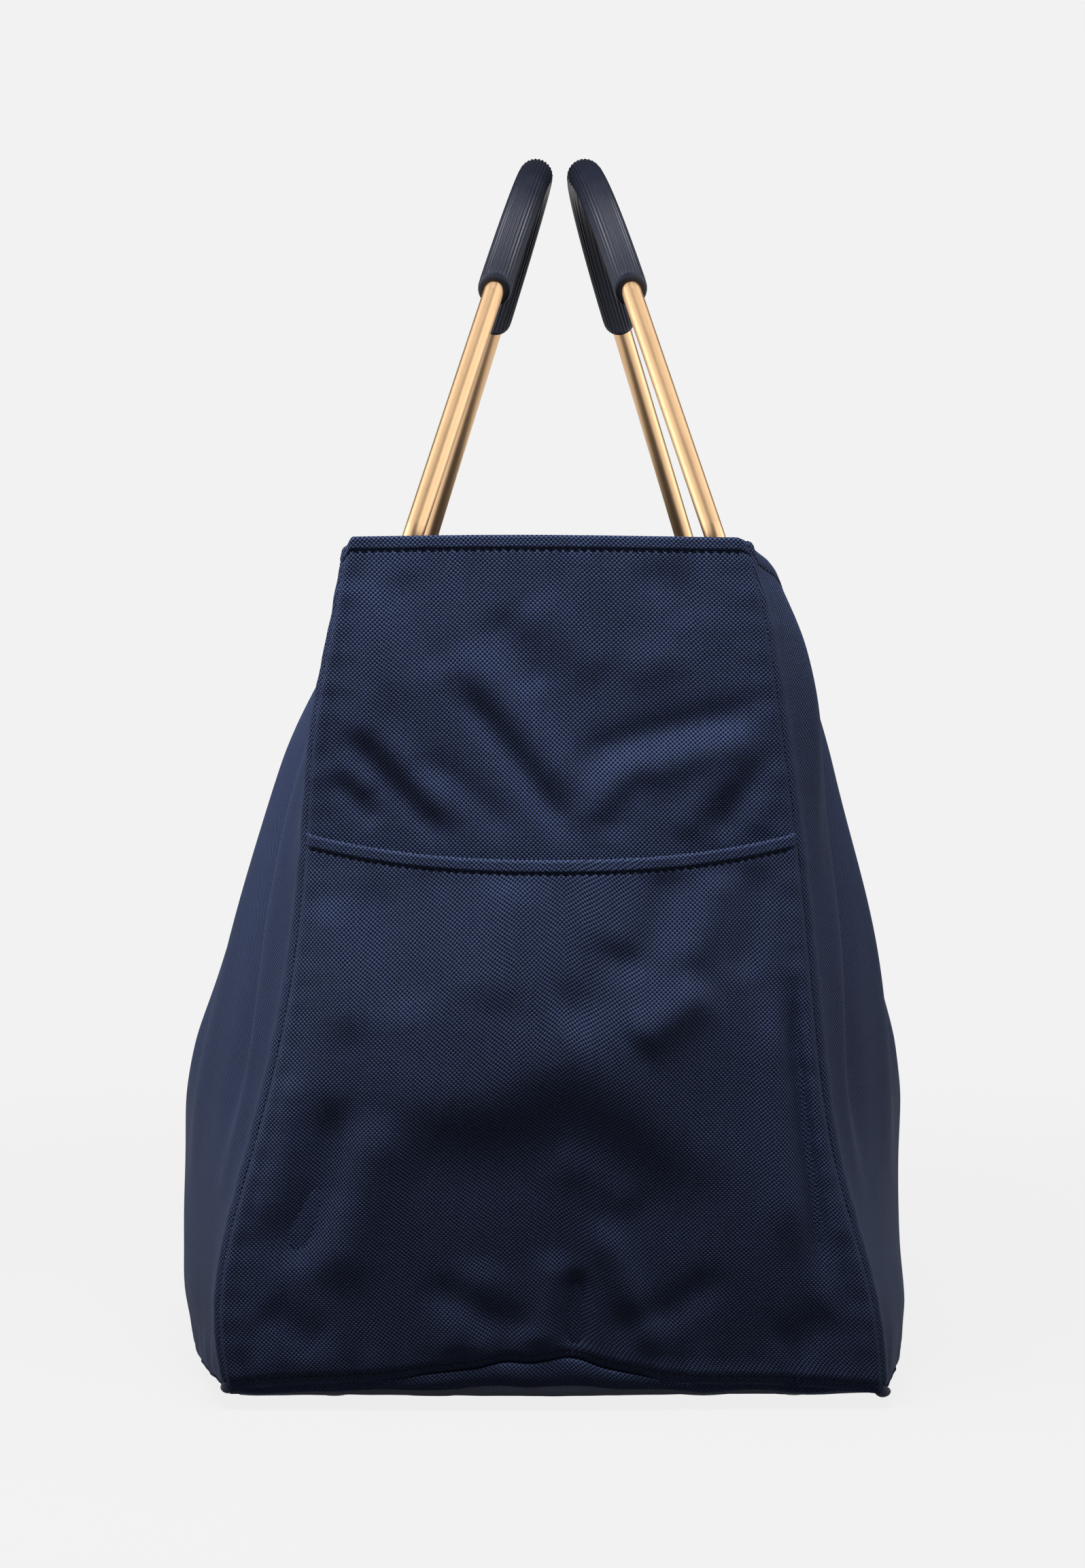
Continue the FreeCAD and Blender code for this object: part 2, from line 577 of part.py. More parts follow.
def add_handle_grip(side, sign):
    """A soft sleeve over the whole arch. Its ends are cut at a slant, longer on the loop's inner side."""
    name = "handle_grip_" + side
    body = new_body(name, handle_placement(sign))
    sketch = new_sketch(body, "YZ_Plane", name + "_section")
    crest = "%s + %s" % (cell("arch_centre"), cell("arch_radius"))
    for alias in ("grip_radius", "grip_bore"):
        add_circles(sketch, cell(alias), (("0", crest),))
    centre, reach = cell("arch_centre"), cell("axis_length")
    axis = sketch.addGeometry(Part.LineSegment(V(0, size(centre), 0), V(size(reach), size(centre), 0)), True)
    place_point(sketch, axis, 1, "0", centre)
    place_point(sketch, axis, 2, reach, centre)
    doc.recompute()
    sleeve = body.newObject("PartDesign::Revolution", name + "_sleeve")
    sleeve.Profile = sketch
    sleeve.ReferenceAxis = (sketch, ["Axis0"])
    sleeve.Midplane = True
    sleeve.setExpression("Angle", "180 - 2 * %s + 2 * %s" % (cell("taper"), cell("grip_overrun")))
    doc.recompute()
    slant = "%s + %s" % (cell("taper"), cell("grip_slant"))
    for end, way in (("near", -1), ("far", 1)):
        outline = []
        for along, down in ((1, 0), (-1, 0), (-1, 1), (1, 1)):
            x = "%s * cos(%s) + %s * (%d * cos(%s) + %d * sin(%s))" % (
                cell("arch_radius"), cell("taper"), cell("grip_cut"), along, slant, down, slant)
            z = "%s + %s * sin(%s) + %s * (%d * sin(%s) - %d * cos(%s))" % (
                cell("arch_centre"), cell("arch_radius"), cell("taper"), cell("grip_cut"),
                along, slant, down, slant)
            outline.append(("%d * (%s)" % (way, x), z))
        trim(body, outline, "%s_%s_end" % (name, end))


def add_tube_joiner(side, sign):
    """A pin inside the lower bar, across the gap between the tube's ends."""
    name = "tube_joiner_" + side
    body = new_body(name, handle_placement(sign))
    sketch = new_sketch(body, "YZ_Plane", name + "_section")
    add_circles(sketch, cell("joiner_radius"), (("0", "0"),))
    pin = pad(body, sketch, cell("joiner_length"), name + "_pin")
    pin.SideType = "Symmetric"


# ---------------------------------------------------------------- assembly and export

for end, angle in ENDS:
    add_end_panel(end, angle)
    add_rim_hem(end, angle)
    add_slip_pocket(end, angle)
    add_pocket_hem(end, angle)
    for side, _, sign in SIDES:
        add_seam_binding(end, angle, side, sign)
for side, angle, sign in SIDES:
    add_side_panel(side, angle)
    add_handle_tunnel(side, sign)
    add_handle_tube(side, sign)
    add_handle_grip(side, sign)
    add_tube_joiner(side, sign)
add_base_panel()
add_base_binding()
add_base_board()
add_base_feet()
add_foot_washers()
add_foot_rivets()
doc.recompute()

for item in doc.Objects:
    if "Invalid" in item.State or "Error" in item.State:
        raise RuntimeError("%s failed: %s" % (item.Label, item.State))
os.makedirs("parts", exist_ok=True)
for body in NODES:
    if body.Shape.isNull() or not body.Shape.isValid():
        raise RuntimeError(body.Label + " has no valid shape")
    body.Shape.exportStep("parts/%s.step" % body.Label)
    box = body.Shape.BoundBox
    print("%-26s %d solids %9.0f mm3  X %.1f..%.1f  Y %.1f..%.1f  Z %.1f..%.1f" % (
        body.Label, len(body.Shape.Solids), body.Shape.Volume,
        box.XMin, box.XMax, box.YMin, box.YMax, box.ZMin, box.ZMax))
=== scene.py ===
"""Looks of the loop-handled shopping bag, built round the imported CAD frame. Metres; +Z up; front end at -Y.

The fabric walls are given at the same heights as the CAD walls, which are symmetric. As soft fabric settles,
the front end leans up to 10 mm to the left, the middle up to 7 mm, and the rear end up to 3 mm.
"""

import math
import random

import bpy
import numpy as np
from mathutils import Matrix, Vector


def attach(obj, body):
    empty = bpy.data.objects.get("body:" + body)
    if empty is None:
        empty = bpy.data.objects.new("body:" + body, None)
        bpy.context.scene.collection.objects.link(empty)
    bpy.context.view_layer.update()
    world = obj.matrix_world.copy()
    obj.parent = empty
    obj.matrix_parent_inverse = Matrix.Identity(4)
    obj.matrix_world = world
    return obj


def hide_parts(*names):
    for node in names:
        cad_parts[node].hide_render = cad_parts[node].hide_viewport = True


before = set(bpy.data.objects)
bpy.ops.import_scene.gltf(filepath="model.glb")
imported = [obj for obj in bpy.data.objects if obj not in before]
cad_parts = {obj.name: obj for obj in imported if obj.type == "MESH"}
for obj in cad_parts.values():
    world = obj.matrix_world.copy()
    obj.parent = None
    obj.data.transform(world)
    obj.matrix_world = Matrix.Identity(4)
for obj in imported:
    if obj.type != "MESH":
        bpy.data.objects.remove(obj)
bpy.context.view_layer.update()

# ---------------------------------------------------------------- shape of the bag

MM = 0.001
LEVEL_Z = np.array((5, 40, 100, 165, 235, 280, 315, 352.5)) * MM
LEVELS = {
    # millimetres at the levels above: where the corner seams and the walls' middles are, and how far cloth
    # stands out past them
    "corner_y": (175, 182, 191, 198.5, 206, 215, 222.5, 230),
    "end_crown": (2, 5, 8, 8, 6, 4, 3, 2),
    "gape": (0.5, 0.7, 5.8, 14, 11, 9.5, 9.5, 9.5),
    "front_left": (137.5, 141, 128.8, 112.7, 104.3, 100.6, 94.0, 87),
    "front_right": (130, 126, 109.5, 99.6, 91.8, 85.4, 79.6, 70.5),
    "rear_left": (136, 136, 122, 108.5, 99.5, 93, 88.5, 84.6),
    "rear_right": (133, 131, 117.5, 105.5, 96.5, 91, 87.5, 84.6),
    "slack_left": (0, 0, 0, 0, -2.5, -5, -5.5, -5.5),
    "slack_right": (0, 0, 0, 0, 5.5, 9.2, 7.8, 7.0),
    "middle_left": (161, 164.5, 162.2, 148.6, 127.6, 109.8, 91.5, 70),
    "middle_right": (149.5, 150.0, 150.0, 138.0, 124.0, 113.5, 100, 74),
}
CLOTH = 0.7 * MM
HEM = 5.6 * MM
SEAM_SINK = 1.1 * MM
POCKET_STAND = 1.8 * MM
RIM_Z = LEVEL_Z[-1]
MOUTH_Z, MOUTH_SAG = 236 * MM, 10 * MM
NOTCH_Z, NOTCH_NEAR, NOTCH_FAR = 316 * MM, 109 * MM, 132 * MM
TUNNEL_HALF = 104 * MM
UNDER_BAR_Z = 335.5 * MM
# how strongly each table of folds shows
PANEL_FOLDING, POCKET_FOLDING, SIDE_FOLDING = 0.95, 1.3, 1.45
SIDE_LOW = 6 * MM
PANEL_LOW = 9 * MM
POCKET_LOW = 10 * MM
SEAM_WIDTH = 1.7 * MM
STITCH_BELOW = HEM + 0.2 * MM
TAPE_WIDTH, TAPE_THICKNESS, TAPE_FOOT_Z = 6.5 * MM, 1.9 * MM, 6.5 * MM
POCKET_SEAM_LINE = 3.4 * MM
PIVOT_X, PIVOT_Z, BAR_RADIUS = 67.1 * MM, 342 * MM, 4.3 * MM
ENDS = {"front": -1, "rear": 1}
SIDES = {"left": -1, "right": 1}


def curve_through(places, values):
    """A smooth function through the given values: a natural cubic spline, level beyond its ends."""
    x, y = np.asarray(places, float), np.asarray(values, float)
    count, step = len(x), np.diff(x)
    matrix, right = np.eye(count), np.zeros(count)
    for i in range(1, count - 1):
        matrix[i, i - 1:i + 2] = step[i - 1], 2 * (step[i - 1] + step[i]), step[i]
        right[i] = 6 * ((y[i + 1] - y[i]) / step[i] - (y[i] - y[i - 1]) / step[i - 1])
    bend = np.linalg.solve(matrix, right)

    def value(at):
        at = np.clip(at, x[0], x[-1])
        i = np.clip(np.searchsorted(x, at) - 1, 0, count - 2)
        after, before, gap = x[i + 1] - at, at - x[i], step[i]
        cubic = (bend[i] * after ** 3 + bend[i + 1] * before ** 3) / (6 * gap)
        first = (y[i] / gap - bend[i] * gap / 6) * after
        second = (y[i + 1] / gap - bend[i + 1] * gap / 6) * before
        return cubic + first + second

    return value


LEVEL = {name: curve_through(LEVEL_Z, np.array(values) * MM) for name, values in LEVELS.items()}


def smooth(low, high, x):
    """0 below low, 1 above high, and an even S between. With low above high it falls from 1 to 0."""
    t = np.clip((x - low) / (high - low), 0, 1)
    return t * t * (3 - 2 * t)


def bell(x, width):
    return np.exp(-(x / width) ** 2)


# ---------------------------------------------------------------- folds in cloth

def fold(x, z, path, width, height, fade=0.25):
    """A soft ridge, or a valley if the height is below zero, along a path that fades out at both ends."""
    points = np.array(path) * MM
    lengths = np.linalg.norm(np.diff(points, axis=0), axis=1)
    total = lengths.sum()
    nearest = np.full(np.shape(x), 1e9)
    along = np.zeros(np.shape(x))
    start = 0.0
    for a, b, length in zip(points[:-1], points[1:], lengths):
        t = np.clip(((x - a[0]) * (b[0] - a[0]) + (z - a[1]) * (b[1] - a[1])) / length ** 2, 0, 1)
        distance = np.hypot(x - a[0] - t * (b[0] - a[0]), z - a[1] - t * (b[1] - a[1]))
        closer = distance < nearest
        nearest = np.where(closer, distance, nearest)
        along = np.where(closer, (start + t * length) / total, along)
        start += length
    ends = smooth(0, fade, along) * smooth(0, fade, 1 - along)
    return height * MM * bell(nearest, width * MM) * ends


def add_folds(x, z, table):
    """The sum of a table's folds, each a path, a width and a height in millimetres."""
    total = 0.0
    for path, width, height in table:
        total = total + fold(x, z, path, width, height)
    return total


def ripples(along, seed, wavelength, height):
    """Uneven small waves along a seam: a few sines whose phases come from the seed."""
    dice = random.Random(seed)
    total = 0.0
    for k in range(4):
        turn = 2 * math.pi / (wavelength * MM * (0.62 + 0.31 * k))
        total = total + 0.8 ** k * np.sin(along * turn + dice.uniform(0, 6.28))
    return total * height * MM / 2.2


def drift(x, z, seed, size, height):
    """Broad uneven swell of slack cloth: a sum of sines in several directions."""
    dice = random.Random(seed)
    total = 0.0
    for _ in range(7):
        angle = dice.uniform(0, math.pi)
        turn = 2 * math.pi / (size * MM * dice.uniform(0.7, 1.6))
        total = total + np.sin((x * math.cos(angle) + z * math.sin(angle)) * turn + dice.uniform(0, 6.28))
    return total * height * MM / 2.6


PANEL_FOLDS = {
    # end panel above the pocket: a V of two drawn folds that meet above the mouth, and short ones round it
    "front": (
        (((-46, 300), (-37.7, 287), (-25, 271), (-13, 255), (-4, 243), (3, 228)), 5.5, -2.3),
        (((-44, 312), (-26, 290), (-12, 272), (-2, 258), (5, 246)), 8, 2.2),
        (((88, 288), (56, 281), (30, 275), (13, 269), (-1, 255)), 6.5, -2.0),
        (((84, 272), (50, 266), (24, 258), (8, 244), (6, 232)), 8, 2.0),
        (((-92, 276), (-81, 270), (-71, 258), (-58, 244), (-46, 231)), 5, -2.1),
        (((-90, 286), (-78, 277), (-62, 260), (-42, 236)), 8, 2.2),
        (((-96, 258), (-86, 252), (-74, 238)), 4.5, -1.4), (((-98, 268), (-88, 262), (-76, 250)), 5, 1.0),
        (((-64, 268), (-46, 258), (-32, 246), (-20, 232)), 6, -1.3),
        (((-88, 338), (-78, 320), (-74, 296), (-80, 276)), 9, 1.5),
        (((-66, 342), (-58, 316), (-50, 296)), 9, -1.1),
        (((-31, 324), (-18, 306), (-10, 290)), 7, -1.3), (((-16, 330), (4, 308), (16, 296)), 9, 1.2),
        (((24, 342), (44, 330), (50, 316), (40, 300)), 8, -1.3), (((62, 326), (44, 308), (18, 296)), 9, 1.4),
        (((82, 268), (68, 250), (58, 232)), 5.5, -1.8), (((68, 264), (52, 248), (42, 232)), 7, 1.4),
        (((90, 258), (80, 246), (74, 234)), 5, 1.0), (((34, 262), (22, 248), (16, 232)), 6, -1.1),
    ),
    "rear": (
        (((42, 330), (-6, 266), (-30, 236)), 11, -2.0), (((-62, 302), (-22, 250)), 10, 1.8),
        (((-80, 280), (-50, 244)), 8, -1.6), (((84, 290), (40, 262), (18, 240)), 11, -1.7),
        (((60, 320), (30, 292)), 9, 1.3),
    ),
}
POCKET_FOLDS = {
    # the pocket's belly turns under along an uneven ridge halfway down, with drawn creases beside both seams
    "front": (
        (((-98, 136), (-81, 138), (-66, 131), (-46, 128), (-28, 131), (-14, 142), (4, 146), (14, 140),
          (30, 122), (46, 108), (66, 104), (88, 112)), 15, 1.4),
        (((-70, 118), (-52, 108), (-30, 106), (0, 112), (20, 102), (44, 86), (66, 82)), 20, -2.0),
        (((-90, 134), (-97, 94), (-113, 56)), 8, -3.0), (((-72, 128), (-82, 90), (-96, 48)), 13, 2.2),
        (((-108, 150), (-112, 110), (-124, 70)), 7, 1.6),
        (((89, 184), (91, 156), (97, 104), (106, 44)), 4.2, -3.6), (((80, 176), (84, 120), (92, 60)), 8, 2.2),
        (((97, 170), (103, 110), (114, 56)), 5, 1.5),
        (((4, 62), (3, 42), (3.5, 20)), 4, -2.6), (((12, 84), (24, 54), (38, 20)), 6.5, 2.2),
        (((-4, 70), (-7, 46), (-14, 22)), 6.5, 1.7), (((-30, 66), (-40, 40), (-46, 18)), 10, 1.3),
        (((58, 176), (38, 162), (24, 152)), 9, 2.4), (((22, 196), (12, 172), (-6, 160)), 12, -1.8),
        (((44, 226), (34, 196), (20, 176)), 8, -1.3), (((62, 224), (54, 196), (44, 180)), 7, 1.3),
        (((76, 226), (74, 200), (68, 176)), 7, -1.2), (((-76, 222), (-68, 190), (-60, 160)), 12, -1.3),
        (((-96, 214), (-92, 180), (-84, 150)), 9, 1.4), (((-20, 222), (-26, 190), (-30, 164)), 12, 1.2),
        (((-60, 56), (-30, 40), (-6, 34)), 7, -1.3), (((66, 60), (40, 42), (12, 33)), 7, -1.3),
        (((-124, 44), (-96, 26)), 9, -1.2), (((110, 40), (84, 24)), 9, -1.2),
        (((-10, 108), (10, 100), (30, 84)), 9, 1.3),
    ),
    "rear": (
        (((-90, 146), (-50, 136), (0, 144), (50, 132), (90, 140)), 13, 2.2),
        (((-80, 112), (-20, 104), (40, 110), (80, 104)), 14, -2.0),
        (((-90, 150), (-114, 56)), 9, -2.6), (((90, 156), (108, 50)), 8, -2.8),
        (((12, 100), (-12, 25)), 10, 1.8), (((-40, 80), (-52, 22)), 10, 1.5), (((52, 84), (60, 22)), 9, 1.3),
        (((-40, 222), (-30, 170)), 10, -1.4), (((46, 222), (30, 176)), 10, 1.4),
    ),
}
SIDE_FOLDS = (
    # for both sides, by the place along the bag: drawn folds below the tunnel's ends, and slack swells below
    (((-110, 316), (-128, 250), (-150, 170), (-158, 90)), 15, -3.4),
    (((110, 316), (128, 246), (150, 166), (160, 80)), 15, -3.2),
    (((-84, 322), (-88, 250), (-98, 160), (-92, 70)), 20, 2.8),
    (((84, 322), (90, 246), (88, 150), (96, 60)), 20, 2.6),
    (((-182, 320), (-166, 240), (-172, 150), (-164, 60)), 12, 1.8),
    (((184, 322), (168, 236), (174, 150), (166, 60)), 12, 1.8),
    (((-34, 326), (-30, 270), (-44, 210)), 13, -2.0), (((30, 326), (34, 262), (22, 200)), 14, -2.2),
    (((-6, 328), (0, 280), (-4, 240)), 12, 1.6),
    (((-140, 44), (-80, 30), (-10, 36)), 12, 0.7), (((150, 50), (90, 30), (20, 34)), 12, 1.2),
    (((-60, 150), (-20, 118), (40, 124)), 24, 2.0), (((90, 108), (40, 84), (-20, 88)), 20, -1.8),
)


# ---------------------------------------------------------------- meshes from grids

def arc_lengths(points, axis):
    steps = np.linalg.norm(np.diff(points, axis=axis), axis=2)
    pad = np.zeros_like(np.take(steps, [0], axis=axis))
    return np.cumsum(np.concatenate([pad, steps], axis=axis), axis=axis)


def grid_normals(points):
    across = np.gradient(points, axis=1)
    up = np.gradient(points, axis=0)
    normal = np.cross(across, up)
    return normal / np.maximum(np.linalg.norm(normal, axis=2, keepdims=True), 1e-12)


def cloth_piece(name, points, thickness, outer, inner, body, flip=False):
    """A closed sheet of cloth: a grid of outer points, rows upward, and the same grid moved inwards."""
    normals = grid_normals(points) * (-1 if flip else 1)
    rows, columns = points.shape[:2]
    thickness = np.broadcast_to(thickness, (rows, columns))[..., None]
    back = points - normals * thickness
    vertices = np.concatenate([points.reshape(-1, 3), back.reshape(-1, 3)])
    count = rows * columns
    u = arc_lengths(points, 1)
    u = u - u[:, columns // 2][:, None]
    v = arc_lengths(points, 0)
    uv = np.concatenate([np.stack([u, v], 2).reshape(-1, 2)] * 2)
    index = np.arange(count).reshape(rows, columns)
    quads = np.stack([index[:-1, :-1], index[:-1, 1:], index[1:, 1:], index[1:, :-1]], 2).reshape(-1, 4)
    if flip:
        quads = quads[:, ::-1]
    rim = list(index[0, :]) + list(index[1:, -1]) + list(index[-1, -2::-1]) + list(index[-2:0:-1, 0])
    border = [(b, a, a + count, b + count) for a, b in zip(rim, rim[1:] + rim[:1])]
    if flip:
        border = [q[::-1] for q in border]
    faces = np.concatenate([quads, quads[:, ::-1] + count, np.array(border)])
    mesh = bpy.data.meshes.new(name)
    mesh.from_pydata(vertices.tolist(), [], faces.tolist())
    layer = mesh.uv_layers.new(name="cloth")
    loops = np.zeros(len(mesh.loops), int)
    mesh.loops.foreach_get("vertex_index", loops)
    layer.data.foreach_set("uv", uv[loops].astype(np.float32).ravel())
    mesh.materials.append(outer)
    mesh.materials.append(inner)
    kinds = np.zeros(len(mesh.polygons), int)
    kinds[len(quads):2 * len(quads)] = 1
    mesh.polygons.foreach_set("material_index", kinds)
    mesh.polygons.foreach_set("use_smooth", np.ones(len(mesh.polygons), bool))
    mesh.update()
    piece = bpy.data.objects.new(name, mesh)
    bpy.context.scene.collection.objects.link(piece)
    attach(piece, body)
    return piece


def plain_piece(name, vertices, faces, material, body):
    mesh = bpy.data.meshes.new(name)
    mesh.from_pydata([tuple(v) for v in vertices], [], [tuple(f) for f in faces])
    mesh.materials.append(material)
    mesh.polygons.foreach_set("use_smooth", np.ones(len(mesh.polygons), bool))
    mesh.update()
    piece = bpy.data.objects.new(name, mesh)
    bpy.context.scene.collection.objects.link(piece)
    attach(piece, body)
    return piece


STITCH_RADIUS, STITCH_TRIM, STITCH_SINK = 0.44 * MM, 3 * MM, 0.30 * MM
# places along half a stitch's length, and the thickness of the thread there
STITCH_STATIONS = ((-0.46, 0.55), (-0.34, 0.9), (0.0, 1.0), (0.34, 0.9), (0.46, 0.55))


def stitches(name, line, outward, pitch=3.3 * MM, length=2.3 * MM, slant=0.12):
    """A row of short, rounded stitches along a line on the cloth."""
    line = np.array(line)
    reach = np.concatenate([[0], np.cumsum(np.linalg.norm(np.diff(line, axis=0), axis=1))])
    starts = np.arange(STITCH_TRIM, reach[-1] - STITCH_TRIM - length, pitch)
    dice = random.Random(len(name) * 7 + len(starts))
    out = np.array(outward, float) / np.linalg.norm(outward)
    vertices, faces = [], []
    for start in starts:
        at = start + dice.uniform(-0.12, 0.12) * MM
        ends = [np.array([np.interp(d, reach, line[:, k]) for k in range(3)]) for d in (at, at + length)]
        axis = ends[1] - ends[0]
        axis /= np.linalg.norm(axis)
        side = np.cross(axis, out)
        side /= np.linalg.norm(side)
        lift = np.cross(side, axis)
        centre, base = (ends[0] + ends[1]) / 2 + lift * 0.06 * MM, len(vertices)
        tilt = slant + dice.uniform(-0.05, 0.05)
        axis = axis + side * tilt
        for share, thick in STITCH_STATIONS:
            sink = -STITCH_SINK * (2 * share) ** 4
            for k in range(6):
                a = k * math.pi / 3
                vertices.append(centre + axis * share * length + lift * sink
                                + (side * math.cos(a) + lift * math.sin(a)) * STITCH_RADIUS * thick)
        vertices += [centre + axis * e * length / 2 - lift * STITCH_SINK for e in (-1, 1)]
        for ring in range(4):
            for k in range(6):
                a, b = base + ring * 6 + k, base + ring * 6 + (k + 1) % 6
                faces.append((a, b, b + 6, a + 6))
        for k in range(6):
            faces.append((base + 30, base + (k + 1) % 6, base + k))
            faces.append((base + 31, base + 24 + k, base + 24 + (k + 1) % 6))
    plain_piece(name, vertices, faces, THREAD, "bag")


def spread(*parts):
    """Grid positions from (start, stop, steps) stretches laid end to end."""
    rows = [np.linspace(a, b, n, endpoint=False) for a, b, n in parts]
    return np.concatenate(rows + [[parts[-1][1]]])


# ---------------------------------------------------------------- materials

class Nodes:
    """A small helper that writes one material's node tree."""

    def __init__(self, name):
        self.material = bpy.data.materials.new(name)
        self.material.use_nodes = True
        self.tree = self.material.node_tree
        self.shader = self.tree.nodes["Principled BSDF"]

    def add(self, kind, inputs=(), **settings):
        node = self.tree.nodes.new(kind)
        for key, value in settings.items():
            setattr(node, key, value)
        for socket, value in dict(inputs).items():
            self.feed(node.inputs[socket], value)
        return node

    def feed(self, socket, value):
        if isinstance(value, bpy.types.NodeSocket):
            self.tree.links.new(value, socket)
        else:
            socket.default_value = value

    def math(self, operation, a, b=None, c=None):
        values = {0: a} if b is None else {0: a, 1: b}
        if c is not None:
            values[2] = c
        return self.add("ShaderNodeMath", values, operation=operation).outputs[0]

    def vector(self, operation, a, b):
        return self.add("ShaderNodeVectorMath", {0: a, 1: b}, operation=operation).outputs[0]

    def noise(self, vector, scale, detail):
        node = self.add("ShaderNodeTexNoise", {"Vector": vector, "Scale": scale, "Detail": detail})
        return node.outputs["Fac"]

    def mix(self, factor, a, b):
        node = self.add("ShaderNodeMix", data_type="RGBA")
        self.feed(node.inputs[0], factor)
        self.feed(node.inputs[6], a)
        self.feed(node.inputs[7], b)
        return node.outputs[2]

    def bump(self, height, strength, distance):
        node = self.add("ShaderNodeBump", {"Height": height, "Strength": strength, "Distance": distance})
        return node.outputs["Normal"]

    def set(self, **values):
        for key, value in values.items():
            self.feed(self.shader.inputs[key.replace("_", " ")], value)
        return self.material


YARN = 0.9 * MM
WEAVE_BUMP, WEAVE_SHEEN_CONTRAST = 0.9, 0.95


def woven_material(name, dark, light):
    """Plain weave of thick yarn: a checkerboard of light floats, with dark crossings between. The light of
    the floats is painted sheen, brightest at their middles, and the dark of the crossings is painted shade.
    """
    n = Nodes(name)
    uv = n.add("ShaderNodeUVMap", uv_map="cloth").outputs[0]
    wander = n.add("ShaderNodeTexNoise", {"Vector": uv, "Scale": 45.0, "Detail": 1.0}).outputs["Color"]
    shift = n.vector("MULTIPLY", wander, (0.0011, 0.0011, 0.0))
    place = n.vector("ADD", uv, shift)
    cells = n.vector("MULTIPLY", place, (1 / YARN, 1 / YARN, 0.0))
    split = n.add("ShaderNodeSeparateXYZ", {0: cells})
    u, v = split.outputs[0], split.outputs[1]
    wave_u, wave_v = (n.math("SINE", n.math("MULTIPLY", w, math.pi)) for w in (u, v))
    check = n.math("MULTIPLY", wave_u, wave_v)
    ridges = n.math("MULTIPLY", n.math("ABSOLUTE", wave_u), n.math("ABSOLUTE", wave_v))
    height = n.math("ADD", n.math("MULTIPLY_ADD", check, 0.35, 0.35), n.math("MULTIPLY", ridges, 0.3))
    row, column = n.math("FLOOR", v), n.math("FLOOR", u)
    along_u = n.add("ShaderNodeCombineXYZ",
                    {0: n.math("MULTIPLY", u, 0.06), 1: n.math("MULTIPLY", row, 3.7)})
    along_v = n.add("ShaderNodeCombineXYZ",
                    {0: n.math("MULTIPLY", column, 5.3), 1: n.math("MULTIPLY", v, 0.06)})
    slub = n.math("ADD", n.noise(along_u.outputs[0], 1.0, 2.0), n.noise(along_v.outputs[0], 1.0, 2.0))
    # painted sheen and shade: every other float is painted lighter towards its middle, and the crossings
    # between are painted darker
    tone = n.math("MULTIPLY_ADD", check, WEAVE_SHEEN_CONTRAST, 0.5)
    tone = n.math("MULTIPLY", tone, n.math("MULTIPLY_ADD", slub, 0.5, 0.5))
    tone = n.math("MAXIMUM", n.math("MINIMUM", tone, 1.0), 0.0)
    colour = n.mix(tone, dark, light)
    worn = n.noise(uv, 14.0, 3.0)
    roughness = n.math("MULTIPLY_ADD", worn, 0.16, 0.58)
    normal = n.bump(height, WEAVE_BUMP, 0.22 * MM)
    n.shader.inputs["Sheen Weight"].default_value = 0.03
    n.shader.inputs["Sheen Roughness"].default_value = 0.45
    n.shader.inputs["Sheen Tint"].default_value = (0.42, 0.56, 1.0, 1.0)
    n.shader.inputs["Specular IOR Level"].default_value = 0.05
    return n.set(Base_Color=colour, Roughness=roughness, Normal=normal)


def coated_material(name, colour):
    """The coated back of the cloth: the weave shows through faintly."""
    n = Nodes(name)
    uv = n.add("ShaderNodeUVMap", uv_map="cloth").outputs[0]
    cells = n.vector("MULTIPLY", uv, (1 / YARN, 1 / YARN, 0.0))
    split = n.add("ShaderNodeSeparateXYZ", {0: cells})
    waves = [n.math("SINE", n.math("MULTIPLY", split.outputs[k], 2 * math.pi)) for k in (0, 1)]
    height = n.math("MULTIPLY", waves[0], waves[1])
    patch = n.noise(uv, 22.0, 4.0)
    lighter = tuple(min(1.0, c * 1.7) for c in colour[:3]) + (1.0,)
    n.shader.inputs["Specular IOR Level"].default_value = 0.4
    roughness = n.math("MULTIPLY_ADD", patch, 0.2, 0.42)
    return n.set(Base_Color=n.mix(patch, colour, lighter), Roughness=roughness,
                 Normal=n.bump(height, 0.35, 0.1 * MM))


def tape_material(name, colour):
    """Ribbed binding tape."""
    n = Nodes(name)
    place = n.add("ShaderNodeTexCoord").outputs["Object"]
    ribs = n.add("ShaderNodeTexWave", {"Vector": place, "Scale": 900.0, "Distortion": 0.6},
                 wave_type="BANDS", bands_direction="Z").outputs["Fac"]
    lighter = tuple(min(1.0, c * 2.4) for c in colour[:3]) + (1.0,)
    patch = n.noise(place, 120.0, 3.0)
    return n.set(Base_Color=n.mix(patch, colour, lighter), Roughness=0.8, Normal=n.bump(ribs, 0.5, 0.1 * MM))


def metal_material(name, colour, roughness):
    """Satin anodised tube: a fine drawn grain along the tube and a slight cloudiness in the finish."""
    n = Nodes(name)
    place = n.add("ShaderNodeTexCoord").outputs["Object"]
    grain = n.add("ShaderNodeMapping", {"Vector": place, "Scale": (2600.0, 40.0, 40.0)}).outputs[0]
    streaks = n.noise(grain, 1.0, 2.0)
    cloud = n.noise(place, 60.0, 3.0)
    deep = tuple(c * 0.86 for c in colour[:3]) + (1.0,)
    n.shader.inputs["Metallic"].default_value = 1.0
    rough = n.math("ADD", n.math("MULTIPLY_ADD", streaks, 0.05, roughness - 0.04),
                   n.math("MULTIPLY", cloud, 0.05))
    return n.set(Base_Color=n.mix(cloud, deep, colour), Roughness=rough,
                 Normal=n.bump(streaks, 0.05, 0.02 * MM))


